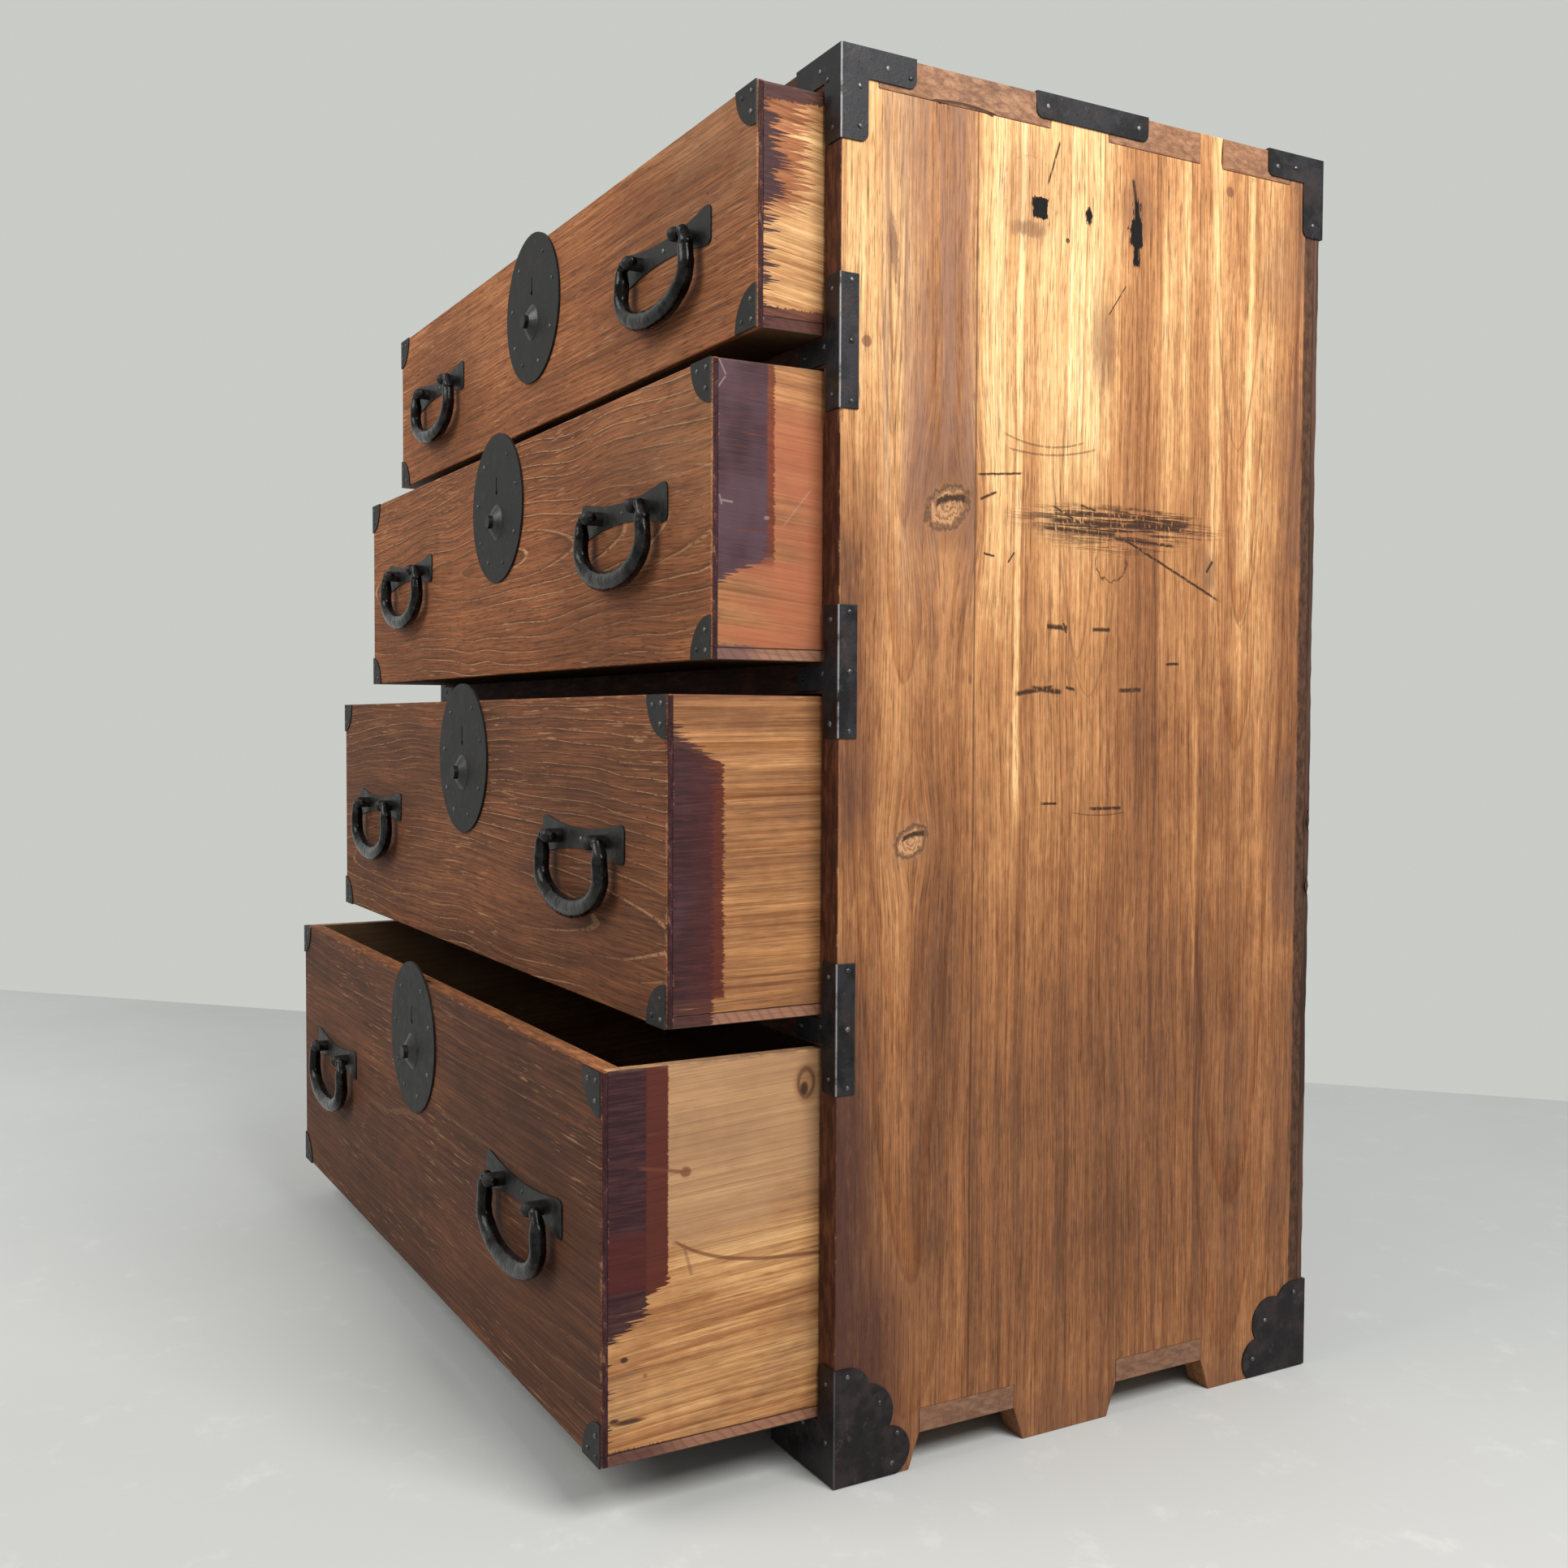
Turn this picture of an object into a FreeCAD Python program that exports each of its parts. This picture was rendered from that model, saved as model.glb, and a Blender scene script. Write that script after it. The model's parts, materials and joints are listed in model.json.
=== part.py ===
import FreeCAD, Part
import math
import os

import Sketcher
from FreeCAD import Placement, Rotation, Vector

# A four-drawer tansu chest: a box-jointed board carcass on cut feet, iron fittings, and four
# drawers that slide on its bottom board and shelves.  Millimetres, +Z up, front towards -Y.
# The origin is the centre of the carcass footprint, at floor level.

doc = FreeCAD.newDocument("tansu_chest")
sheet = doc.addObject("Spreadsheet::Sheet", "sizes")

SIZES = [
    # carcass
    ("case_width", 910, "over both side boards"),
    ("case_depth", 460, "front edges to the back panel's outer face"),
    ("side_thickness", 22.7, "side boards"),
    ("top_thickness", 24, "top board"),
    ("bottom_thickness", 17.5, "bottom board"),
    ("shelf_thickness", 22, "shelves, whose front edges are the rails"),
    ("back_thickness", 7, "back panel, laid over the rear edges"),
    ("dado_depth", 7, "how far the shelves are let into the side boards"),
    ("foot_height", 25.5, "clear height under the bottom board"),
    ("foot_flare", 9, "how much each foot narrows down to the floor"),
    ("front_foot", 72, "front foot, measured where it meets the bottom board"),
    ("front_cutout", 85, "cut-out behind the front foot"),
    ("middle_foot", 99.5, "middle foot"),
    ("rear_cutout", 88.5, "cut-out before the rear foot"),
    ("foot_block_length", 70, "block under the front edge, inward from the side board"),
    ("foot_block_depth", 22, "the same block, front to back"),
    ("back_foot", 80, "foot at each lower corner of the back panel"),
    ("front_tail", 30, "side board's joint tail at the front edge"),
    ("front_finger", 150, "top board's front joint finger"),
    ("second_tail", 55, "side board's second tail"),
    ("middle_finger", 92, "top board's middle finger"),
    ("third_tail", 24, "side board's third tail"),
    ("rear_finger", 74, "top board's rear finger"),
    # running clearances of the drawers
    ("gap_under", 0.3, "drawer above the board it runs on"),
    ("gap_over", 1.7, "drawer below the board over it"),
    ("gap_side", 0.8, "drawer to each side board"),
    ("gap_stop", 0.8, "shut drawer to the back panel"),
    ("proud_when_shut", 0.5, "shut drawer front stands this far out of the carcass front"),
    # drawers, from the top one down
    ("drawer_height_1", 166, "top drawer"),
    ("drawer_height_2", 202.5, "second drawer"),
    ("drawer_height_3", 225, "third drawer"),
    ("drawer_height_4", 265, "bottom drawer"),
    ("pull_1", 52, "how far the top drawer stands open"),
    ("pull_2", 86, "second drawer"),
    ("pull_3", 119, "third drawer"),
    ("pull_4", 166, "bottom drawer"),
    ("front_thickness", 17, "drawer front"),
    ("front_lip", 5, "part of the front that covers the ends of the sides"),
    ("drawer_side", 11, "drawer side thickness"),
    ("drawer_back", 10, "drawer back thickness"),
    ("drawer_bottom", 8, "drawer bottom thickness"),
    ("back_drop", 8, "drawer back's top edge below the side's"),
    ("edge_round", 1.5, "worn rounding along the drawer front's outer edges"),
    # drawer irons
    ("iron_sheet", 1.2, "thickness of the sheet-iron fittings"),
    ("corner_iron_radius", 30, "quarter-round iron at each corner of a drawer front"),
    # lock
    ("lock_radius", 67, "round lock plate"),
    ("lock_sheet", 2, "lock plate thickness"),
    ("lock_nail_inset", 14, "lock plate's nails in from its rim"),
    ("lock_rise_1", 9.5, "top drawer's plate above the drawer's top edge"),
    ("lock_rise_2", 15.5, "second drawer's plate"),
    ("lock_rise_3", 15.5, "third drawer's plate"),
    ("lock_rise_4", 15.5, "bottom drawer's plate"),
    ("keyhole_bottom", 14, "keyhole's round end above the plate's centre"),
    ("keyhole_length", 14, "keyhole slot"),
    ("keyhole_width", 2, "keyhole slot"),
    ("keyhole_pin_radius", 2.2, "keyhole's round end"),
    ("boss_drop", 13, "boss below the plate's centre"),
    ("boss_foot_radius", 16.5, "conical boss at the plate"),
    ("boss_tip_radius", 8, "conical boss at its tip"),
    ("boss_height", 5.5, "conical boss"),
    ("button_radius", 6, "push button"),
    ("button_stand", 3.6, "button beyond the boss"),
    ("button_travel", 3, "how far the button goes in"),
    ("button_flange_radius", 9, "flange that keeps the button in"),
    ("button_flange", 1.5, "thickness of that flange"),
    ("slide_clearance", 0.05, "running clearance of button, bolt and pins"),
    ("case_half_width", 24, "half the width of the lock case"),
    ("case_inner_depth", 8, "room inside the lock case, front to back"),
    ("case_wall", 1.2, "lock case wall"),
    ("case_below_boss", 12.5, "lock case below the boss's axis"),
    ("case_top_drop", 1, "lock case below the drawer's top edge"),
    ("bolt_width", 22, "lock bolt"),
    ("bolt_thickness", 4, "lock bolt"),
    ("bolt_height", 30, "lock bolt"),
    ("bolt_throw", 8, "how far the key lifts the bolt"),
    ("bolt_top_drop", 0.5, "drawn bolt's top below the drawer's top edge"),
    ("seat_gap", 0.3, "clearance where a loose piece rests or a part is let in"),
    ("keeper_clearance", 1, "mortise in the board above, round the bolt"),
    # handles
    ("handle_inset", 148, "handle's centre from the end of the drawer front"),
    ("handle_drop_1", 78, "bail axis below the top edge, top drawer"),
    ("handle_drop_2", 88, "second drawer"),
    ("handle_drop_3", 106, "third drawer"),
    ("handle_drop_4", 118, "bottom drawer"),
    ("plate_length", 160, "handle back plate"),
    ("plate_wing", 28, "back plate's height at its ends"),
    ("plate_waist", 15, "back plate's height at its middle"),
    ("plate_corner", 5, "rounding of its four corners"),
    ("post_spacing", 84, "between the two eye posts"),
    ("post_radius", 5.5, "eye post"),
    ("post_shank_radius", 3.5, "its shank through the drawer front"),
    ("post_leg_length", 26, "clinched legs inside the drawer"),
    ("post_leg_width", 5, "clinched legs"),
    ("post_leg_thickness", 1.6, "clinched legs"),
    ("bail_stand", 10.5, "bail axis in front of the drawer's face"),
    ("post_nose", 1.5, "post's barrel beyond the bail axis, before its round head"),
    ("bail_pin_radius", 3, "pins at the bail's ends"),
    ("bail_pin_overrun", 2.5, "pin beyond the post"),
    ("bail_shoulder_gap", 0.8, "bail's shoulder to the post"),
    ("bail_reach", 59, "half the bail's width, to the middle of the bar"),
    ("bail_straight", 24, "bail axis down to where the bend starts"),
    ("bail_bend", 27.5, "height of the bend, to the middle of the bar"),
    ("bail_bar", 4.7, "bar's half height at its ends"),
    ("bail_bar_depth", 4.5, "bar's half depth at its ends"),
    ("bail_belly", 6.4, "bar's half height at the grip"),
    ("bail_belly_depth", 5.3, "bar's half depth at the grip"),
    # carcass irons
    ("arm_length", 60.5, "top corner iron, along the top edge"),
    ("arm_height", 20, "top corner iron, height of its arm"),
    ("leg_length", 63, "top corner iron, down the corner"),
    ("leg_width", 21, "top corner iron, across its leg"),
    ("mid_iron_start", 166, "iron on the middle of the top edge, from the front"),
    ("mid_iron_length", 107, "its length"),
    ("mid_iron_width", 18, "its width on the side and on the top"),
    ("rail_iron_height", 92.5, "iron over the joint of rail and side board"),
    ("rail_iron_rise", 4, "its middle above the rail's middle"),
    ("rail_iron_side", 14.5, "its width on the side face"),
    ("rail_iron_front", 18, "its width on the front edge"),
    ("rail_tongue_length", 55, "its tongue along the rail, from the outer face"),
    ("rail_tongue_height", 18, "the tongue's height"),
    ("foot_iron_lift", 1, "foot irons above the floor"),
    ("foot_iron_front_arm", 90, "front foot iron's reach along the front"),
    ("foot_iron_front_height", 42, "height of that arm"),
    ("iron_corner", 6, "rounding at the free ends of the carcass irons"),
    # cloud outlines of the foot irons: three lobes each, from the top one down
    ("front_lobe_out_1", 10, "lobe's centre from the front edge"),
    ("front_lobe_up_1", 66, "lobe's centre above the floor"),
    ("front_lobe_radius_1", 19, "lobe's radius"),
    ("front_lobe_out_2", 26, "second lobe"),
    ("front_lobe_up_2", 48, "second lobe"),
    ("front_lobe_radius_2", 22.5, "second lobe"),
    ("front_lobe_out_3", 44.5, "third lobe"),
    ("front_lobe_up_3", 18, "third lobe"),
    ("front_lobe_radius_3", 18.5, "third lobe"),
    ("rear_lobe_out_1", 13, "lobe's centre from the rear face"),
    ("rear_lobe_up_1", 54, "lobe's centre above the floor"),
    ("rear_lobe_radius_1", 19.5, "lobe's radius"),
    ("rear_lobe_out_2", 38, "second lobe"),
    ("rear_lobe_up_2", 44, "second lobe"),
    ("rear_lobe_radius_2", 20.5, "second lobe"),
    ("rear_lobe_out_3", 51, "third lobe"),
    ("rear_lobe_up_3", 14, "third lobe"),
    ("rear_lobe_radius_3", 18.5, "third lobe"),
    # nails
    ("nail_head_radius", 2.3, "forged nail head"),
    ("nail_head_height", 1.1, "forged nail head"),
    ("nail_shank_radius", 1, "nail shank"),
    ("nail_length", 9, "nail below its head"),
]

for row, (alias, number, meaning) in enumerate(SIZES, start=1):
    sheet.set(f"A{row}", meaning)
    sheet.set(f"B{row}", str(number))
    sheet.setAlias(f"B{row}", alias)
doc.recompute()


class Size:
    """A length known both as a formula on the sheet and as a number."""

    def __init__(self, formula, value):
        self.formula = formula
        self.value = value

    def _with(self, other, sign, result):
        return Size(f"({self.formula} {sign} {as_size(other).formula})", result)

    def __add__(self, other):
        return self._with(other, "+", self.value + as_size(other).value)

    def __sub__(self, other):
        return self._with(other, "-", self.value - as_size(other).value)

    def __mul__(self, factor):
        return self._with(factor, "*", self.value * factor)

    def __truediv__(self, divisor):
        return self._with(divisor, "/", self.value / divisor)

    def __neg__(self):
        return self * -1

    __radd__ = __add__
    __rmul__ = __mul__


def as_size(number):
    return number if isinstance(number, Size) else Size(f"({number})", float(number))


class Sheet:
    """Reads the sheet's cells as Size values: size.case_width."""

    def __getattr__(self, alias):
        return Size(f"sizes.{alias}", float(sheet.get(alias)))


size = Sheet()


def bind(thing, prop, length):
    thing.setExpression(prop, as_size(length).formula)


def place(thing, corner):
    for letter, length in zip("xyz", corner):
        bind(thing, f".Placement.Base.{letter}", length)
    return thing


# ---------------------------------------------------------------- building blocks

TURN = {
    "x": Rotation(Vector(0, 1, 0), 90),
    "y": Rotation(Vector(1, 0, 0), -90),
    "z": Rotation(),
}


def box(name, extent, corner):
    made = doc.addObject("Part::Box", name)
    for prop, length in zip(("Length", "Width", "Height"), extent):
        bind(made, prop, length)
    return place(made, corner)


def cylinder(name, radius, length, base, axis):
    made = doc.addObject("Part::Cylinder", name)
    bind(made, "Radius", radius)
    bind(made, "Height", length)
    made.Placement = Placement(Vector(), TURN[axis])
    return place(made, base)


def cone(name, radius, end_radius, length, base, axis):
    made = doc.addObject("Part::Cone", name)
    bind(made, "Radius1", radius)
    bind(made, "Radius2", end_radius)
    bind(made, "Height", length)
    made.Placement = Placement(Vector(), TURN[axis])
    return place(made, base)


def ball(name, radius, centre):
    made = doc.addObject("Part::Sphere", name)
    bind(made, "Radius", radius)
    return place(made, centre)


def fuse(name, shapes):
    made = doc.addObject("Part::MultiFuse", name)
    made.Shapes = shapes
    made.Refine = True
    return made


def cut(name, base, tool, kind="Part::Cut"):
    made = doc.addObject(kind, name)
    made.Base = base
    made.Tool = tool
    return made


def common(name, base, tool):
    return cut(name, base, tool, "Part::Common")


def group(name, shapes):
    made = doc.addObject("Part::Compound", name)
    made.Links = shapes
    return made


def mirrored(name, source):
    """The same shape on the other side of the middle plane."""
    made = doc.addObject("Part::Mirroring", name)
    made.Source = source
    made.Base = Vector(0, 0, 0)
    made.Normal = Vector(1, 0, 0)
    return made


def pair(name, source):
    return group(name, [source, mirrored(f"{name}_left", source)])


def rounded(name, base, axis, corners, radius):
    """Rounds those edges along the axis that pass through the given corner points."""
    doc.recompute()
    across = ["xyz".index(letter) for letter in "xyz" if letter != axis]
    chosen = []
    for index, edge in enumerate(base.Shape.Edges, start=1):
        ends = [vertex.Point for vertex in edge.Vertexes]
        if len(ends) != 2 or any(abs(ends[0][i] - ends[1][i]) > 0.001 for i in across):
            continue
        for corner in corners:
            wanted = [as_size(length).value for length in corner]
            if all(abs(ends[0][i] - want) < 0.01 for i, want in zip(across, wanted)):
                chosen.append((index, radius.value, radius.value))
    made = doc.addObject("Part::Fillet", name)
    made.Base = base
    made.Edges = chosen
    return made


def origin_plane(body, role):
    return next(f for f in body.Origin.OriginFeatures if f.Role == role)


def loops_sketch(body, name, plane, loops):
    """A sketch of closed straight-sided loops, each corner held to the sheet."""
    sketch = body.newObject("Sketcher::SketchObject", name)
    sketch.AttachmentSupport = (origin_plane(body, plane), [""])
    sketch.MapMode = "FlatFace"
    for loop in loops:
        first = sketch.GeometryCount
        spots = [tuple(as_size(length) for length in corner) for corner in loop]
        flat = [Vector(across.value, up.value, 0) for across, up in spots]
        for start, end in zip(flat, flat[1:] + flat[:1]):
            sketch.addGeometry(Part.LineSegment(start, end), False)
        for i in range(len(flat)):
            following = first + (i + 1) % len(flat)
            sketch.addConstraint(Sketcher.Constraint("Coincident", first + i, 2, following, 1))
        for i, (across, up) in enumerate(spots):
            for kind, axis_line, length in (("DistanceX", -2, across), ("DistanceY", -1, up)):
                if length.value == 0:
                    on_axis = Sketcher.Constraint("PointOnObject", first + i, 1, axis_line)
                    sketch.addConstraint(on_axis)
                    continue
                held = Sketcher.Constraint(kind, first + i, 1, length.value)
                number = sketch.addConstraint(held)
                sketch.setExpression(f"Constraints[{number}]", length.formula)
    return sketch


def pad(body, name, plane, loops, length, backwards=False):
    made = body.newObject("PartDesign::Pad", name)
    made.Profile = loops_sketch(body, f"{name}_sketch", plane, loops)
    bind(made, "Length", length)
    made.Reversed = backwards
    body.Tip = made
    return made


def pocket(body, name, plane, loops, length, backwards):
    made = body.newObject("PartDesign::Pocket", name)
    made.Profile = loops_sketch(body, f"{name}_sketch", plane, loops)
    bind(made, "Length", length)
    made.Reversed = backwards
    body.Tip = made
    return made


def rectangle(left, low, right, high):
    return [(left, low), (right, low), (right, high), (left, high)]


# ---------------------------------------------------------------- shared positions

DRAWERS = (1, 2, 3, 4)
SHELF_NAMES = {1: "shelf_upper", 2: "shelf_middle", 3: "shelf_lower"}

half_width = size.case_width / 2
inner_half = half_width - size.side_thickness
front_y = -size.case_depth / 2
board_depth = size.case_depth - size.back_thickness
sheet_iron = size.iron_sheet


def drawer_size(kind, number):
    return getattr(size, f"{kind}_{number}")


def floor_under(number):
    """Top face of the board that a drawer runs on."""
    if number == DRAWERS[-1]:
        return size.foot_height + size.bottom_thickness
    return ceiling_over(number + 1) + size.shelf_thickness


def ceiling_over(number):
    """Underside of the board over a drawer."""
    bay = size.gap_under + drawer_size("drawer_height", number) + size.gap_over
    return floor_under(number) + bay


top_underside = ceiling_over(1)
case_height = top_underside + size.top_thickness

foot_edges = [
    (size.front_foot, size.front_foot + size.front_cutout),
    (
        size.front_foot + size.front_cutout + size.middle_foot,
        size.front_foot + size.front_cutout + size.middle_foot + size.rear_cutout,
    ),
]

finger_edges = []
reached = as_size(0)
for tail, finger in (
    (size.front_tail, size.front_finger),
    (size.second_tail, size.middle_finger),
    (size.third_tail, size.rear_finger),
):
    finger_edges.append((reached + tail, reached + tail + finger))
    reached = reached + tail + finger

# ---------------------------------------------------------------- nails

SIDE = Vector(1, 0, 0)
FRONT = Vector(0, -1, 0)
BACK = Vector(0, 1, 0)


def nail(point, outward):
    """One forged nail: a low domed head on a round shank, standing on point."""
    head_radius = size.nail_head_radius.value
    rise = size.nail_head_height.value
    dome_radius = (head_radius**2 + rise**2) / (2 * rise)
    head = Part.makeSphere(dome_radius, Vector(0, 0, rise - dome_radius))
    head = head.common(Part.makeCylinder(head_radius, rise))
    shank = Part.makeCylinder(size.nail_shank_radius.value, size.nail_length.value)
    shank.translate(Vector(0, 0, -size.nail_length.value))
    made = head.fuse(shank).removeSplitter().Solids[0]
    made.Placement = Placement(point, Rotation(Vector(0, 0, 1), outward))
    return made


def nails(name, spots):
    made = doc.addObject("Part::Feature", name)
    made.Shape = Part.makeCompound([nail(point, outward) for point, outward in spots])
    return made


def both_sides(spots):
    """The spots, and the same ones on the other side of the middle plane."""
    flip = [
        (Vector(-point.x, point.y, point.z), Vector(-outward.x, outward.y, outward.z))
        for point, outward in spots
    ]
    return spots + flip


def on_side(from_front, height):
    x = half_width + sheet_iron
    return Vector(x.value, front_y.value + from_front, height), SIDE


def on_front(from_side, height):
    y = front_y - sheet_iron
    return Vector(half_width.value - from_side, y.value, height), FRONT


def on_back(from_side, height):
    y = size.case_depth / 2 + sheet_iron
    return Vector(half_width.value - from_side, y.value, height), BACK


# ---------------------------------------------------------------- carcass irons


def side_plate(name, start, low, length, height):
    """Sheet iron on the right side face; start is measured from the front edges."""
    return box(name, (sheet_iron, length, height), (half_width, front_y + start, low))


def face_plate(name, reach, low, height, y):
    """Sheet iron across the front or back, from the right outer face inward."""
    corner = (half_width - reach, y, low)
    return box(name, (reach + sheet_iron, sheet_iron, height), corner)


def top_plate(name, start, length, reach):
    """Sheet iron on the top face, from the right outer face inward."""
    corner = (half_width - reach, front_y + start, case_height)
    return box(name, (reach + sheet_iron, length, sheet_iron), corner)


def top_corner_iron(name, at_back):
    """Three-way corner iron: two arms and a leg, folded over the top."""
    outer = size.case_depth if at_back else -sheet_iron
    face_y = front_y + outer
    arm = size.arm_length + sheet_iron
    leg = size.leg_width + sheet_iron
    fold = size.arm_height + sheet_iron
    arm_start = size.case_depth - size.arm_length if at_back else -sheet_iron
    leg_start = size.case_depth - size.leg_width if at_back else -sheet_iron
    fold_start = size.case_depth - size.arm_height if at_back else -sheet_iron
    arm_low = case_height - size.arm_height
    leg_low = case_height - size.leg_length
    shapes = [
        side_plate(f"{name}_side_arm", arm_start, arm_low, arm, fold),
        side_plate(f"{name}_side_leg", leg_start, leg_low, leg, size.leg_length),
        face_plate(f"{name}_face_arm", size.arm_length, arm_low, fold, face_y),
        face_plate(f"{name}_face_leg", size.leg_width, leg_low, size.leg_length, face_y),
        top_plate(f"{name}_top_arm", arm_start, arm, size.arm_height),
        top_plate(f"{name}_top_fold", fold_start, fold, size.arm_length),
    ]
    arm_end = front_y + (arm_start if at_back else size.arm_length)
    leg_end = front_y + (leg_start if at_back else size.leg_width)
    side_corners = [(arm_end, arm_low), (leg_end, leg_low)]
    face_corners = [(half_width - size.arm_length, arm_low), (half_width - size.leg_width, leg_low)]
    made = rounded(f"{name}_a", fuse(f"{name}_sheet", shapes), "x", side_corners, size.iron_corner)
    return rounded(name, made, "y", face_corners, size.iron_corner)


def mid_top_iron(name):
    start = size.mid_iron_start
    low = case_height - size.mid_iron_width
    drop = size.mid_iron_width + sheet_iron
    side = side_plate(f"{name}_side", start, low, size.mid_iron_length, drop)
    top = top_plate(f"{name}_top", start, size.mid_iron_length, size.mid_iron_width)
    end = start + size.mid_iron_length
    side_corners = [(front_y + start, low), (front_y + end, low)]
    sheet_part = fuse(f"{name}_sheet", [side, top])
    return rounded(name, sheet_part, "x", side_corners, size.iron_corner)


def rail_iron(name, number):
    """T-shaped iron that wraps the side board's edge where a rail meets it."""
    rail_low = ceiling_over(number + 1)
    rail_middle = rail_low + size.shelf_thickness / 2
    low = rail_middle + size.rail_iron_rise - size.rail_iron_height / 2
    tongue_low = rail_middle - size.rail_tongue_height / 2
    y = front_y - sheet_iron
    tall = size.rail_iron_height
    side_width = size.rail_iron_side + sheet_iron
    tongue = size.rail_tongue_height
    shapes = [
        side_plate(f"{name}_side", -sheet_iron, low, side_width, tall),
        face_plate(f"{name}_front", size.rail_iron_front, low, tall, y),
        face_plate(f"{name}_tongue", size.rail_tongue_length, tongue_low, tongue, y),
    ]
    return fuse(name, shapes)


def cloud_plate(name, end, at_back):
    """Side of a foot iron: three lobes along its free edge, filled in to the corner."""
    shapes = []
    for lobe in (1, 2, 3):
        out = getattr(size, f"{end}_lobe_out_{lobe}")
        up = getattr(size, f"{end}_lobe_up_{lobe}")
        radius = getattr(size, f"{end}_lobe_radius_{lobe}")
        centre_y = size.case_depth / 2 - out if at_back else front_y + out
        centre = (half_width, centre_y, up)
        shapes.append(cylinder(f"{name}_lobe_{lobe}", radius, sheet_iron, centre, "x"))
        near = centre_y if at_back else front_y - sheet_iron
        filled_up = up + radius * (1 if lobe == 1 else 0.55)
        corner = (half_width, near, 0)
        shapes.append(box(f"{name}_fill_{lobe}", (sheet_iron, out + sheet_iron, filled_up), corner))
    return shapes


def foot_iron(name, end, at_back, arm_reach, arm_height):
    """Foot iron: cloud-edged on the side face, with a leg and an arm round the corner."""
    y = front_y + (size.case_depth if at_back else -sheet_iron)
    leg_height = getattr(size, f"{end}_lobe_up_1") + getattr(size, f"{end}_lobe_radius_1")
    shapes = cloud_plate(name, end, at_back)
    shapes.append(face_plate(f"{name}_leg", size.leg_width, 0, leg_height, y))
    shapes.append(face_plate(f"{name}_arm", arm_reach, 0, arm_height, y))
    blank = fuse(f"{name}_sheet", shapes)
    face_corners = [(half_width - size.leg_width, leg_height), (half_width - arm_reach, arm_height)]
    blank = rounded(f"{name}_rounded", blank, "y", face_corners, size.iron_corner)
    kept = (half_width + sheet_iron, size.case_depth + sheet_iron * 2, size.leg_length * 2)
    kept_corner = (0, front_y - sheet_iron, size.foot_iron_lift)
    return common(name, blank, box(f"{name}_kept", kept, kept_corner))


front_corner = top_corner_iron("top_front_corner", at_back=False)
rear_corner = top_corner_iron("top_rear_corner", at_back=True)
front_foot_iron = foot_iron(
    "front_foot_iron",
    "front",
    False,
    size.foot_iron_front_arm,
    size.foot_iron_front_height,
)
rear_foot_iron = foot_iron("rear_foot_iron", "rear", True, size.arm_length, size.arm_height)
corner_sheet = group(
    "case_corner_sheet",
    [
        pair("top_front_corners", front_corner),
        pair("top_rear_corners", rear_corner),
        pair("front_foot_irons", front_foot_iron),
        pair("rear_foot_irons", rear_foot_iron),
    ],
)
rail_irons = [rail_iron(f"rail_iron_{number}", number) for number in SHELF_NAMES]
edge_sheet = group(
    "case_edge_sheet",
    [pair("mid_top_irons", mid_top_iron("mid_top_iron"))]
    + [pair(f"rail_irons_{number}", iron) for number, iron in zip(SHELF_NAMES, rail_irons)],
)


def case_nail_spots():
    """Where the right-hand irons are nailed, worked out from the irons' own sizes."""
    top = case_height.value
    depth = size.case_depth.value
    arm = size.arm_length.value
    inset = size.arm_height.value / 2
    leg_low = top - size.leg_length.value + inset
    spots = [
        on_side(arm - inset / 2, top - inset * 1.3),
        on_side(arm * 0.6, top - inset),
        on_side(inset * 1.4, top - inset * 2.6),
        on_side(inset * 1.4, leg_low),
        on_front(arm * 0.45, top - inset),
        on_front(inset * 1.7, top - inset * 1.9),
        on_front(inset, leg_low),
        on_side(depth - arm + inset, top - inset * 1.2),
        on_side(depth - arm * 0.5, top - inset),
        on_side(depth - inset, leg_low),
        on_back(arm - inset, top - inset),
        on_back(inset, leg_low),
    ]
    mid = size.mid_iron_start.value
    mid_height = top - size.mid_iron_width.value / 2
    spots.append(on_side(mid + inset, mid_height))
    spots.append(on_side(mid + size.mid_iron_length.value - inset, mid_height))
    for number in SHELF_NAMES:
        middle = (ceiling_over(number + 1) + size.shelf_thickness / 2).value
        reach = size.rail_iron_height.value / 2 - inset / 2
        centre = middle + size.rail_iron_rise.value
        for height in (centre + reach, centre, centre - reach):
            spots.append(on_side(size.rail_iron_side.value / 2 + 1, height))
        for height in (centre + reach - inset / 2, centre - reach + inset / 2):
            spots.append(on_front(size.rail_iron_front.value / 2, height))
        spots.append(on_front(size.rail_iron_front.value + 2, middle + 3))
        spots.append(on_front(size.rail_tongue_length.value - 8, middle))
    spots += [on_side(10, 79), on_side(37, 55), on_side(52, 30), on_side(48, 9)]
    spots += [on_front(10, 72), on_front(10, 30), on_front(42, 33), on_front(66, 33)]
    spots += [on_side(depth - 12, 64), on_side(depth - 45, 46), on_side(depth - 58, 16)]
    spots += [on_back(10, 62), on_back(50, 12)]
    return spots


BACK_NAIL_ROWS = 7


def back_panel_nail_spots():
    """Nails through the back panel into the rear edges of the right side board."""
    span = case_height.value - size.foot_height.value
    start = size.foot_height.value + size.leg_length.value + size.leg_length.value / 3
    step = (span - 2 * size.leg_length.value - size.leg_length.value / 3) / (BACK_NAIL_ROWS - 1)
    x = half_width.value - size.side_thickness.value / 2
    y = size.case_depth.value / 2
    return [(Vector(x, y, start + row * step), BACK) for row in range(BACK_NAIL_ROWS)]


case_nails = nails("case_nails", both_sides(case_nail_spots() + back_panel_nail_spots()))

# ---------------------------------------------------------------- carcass boards


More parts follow.
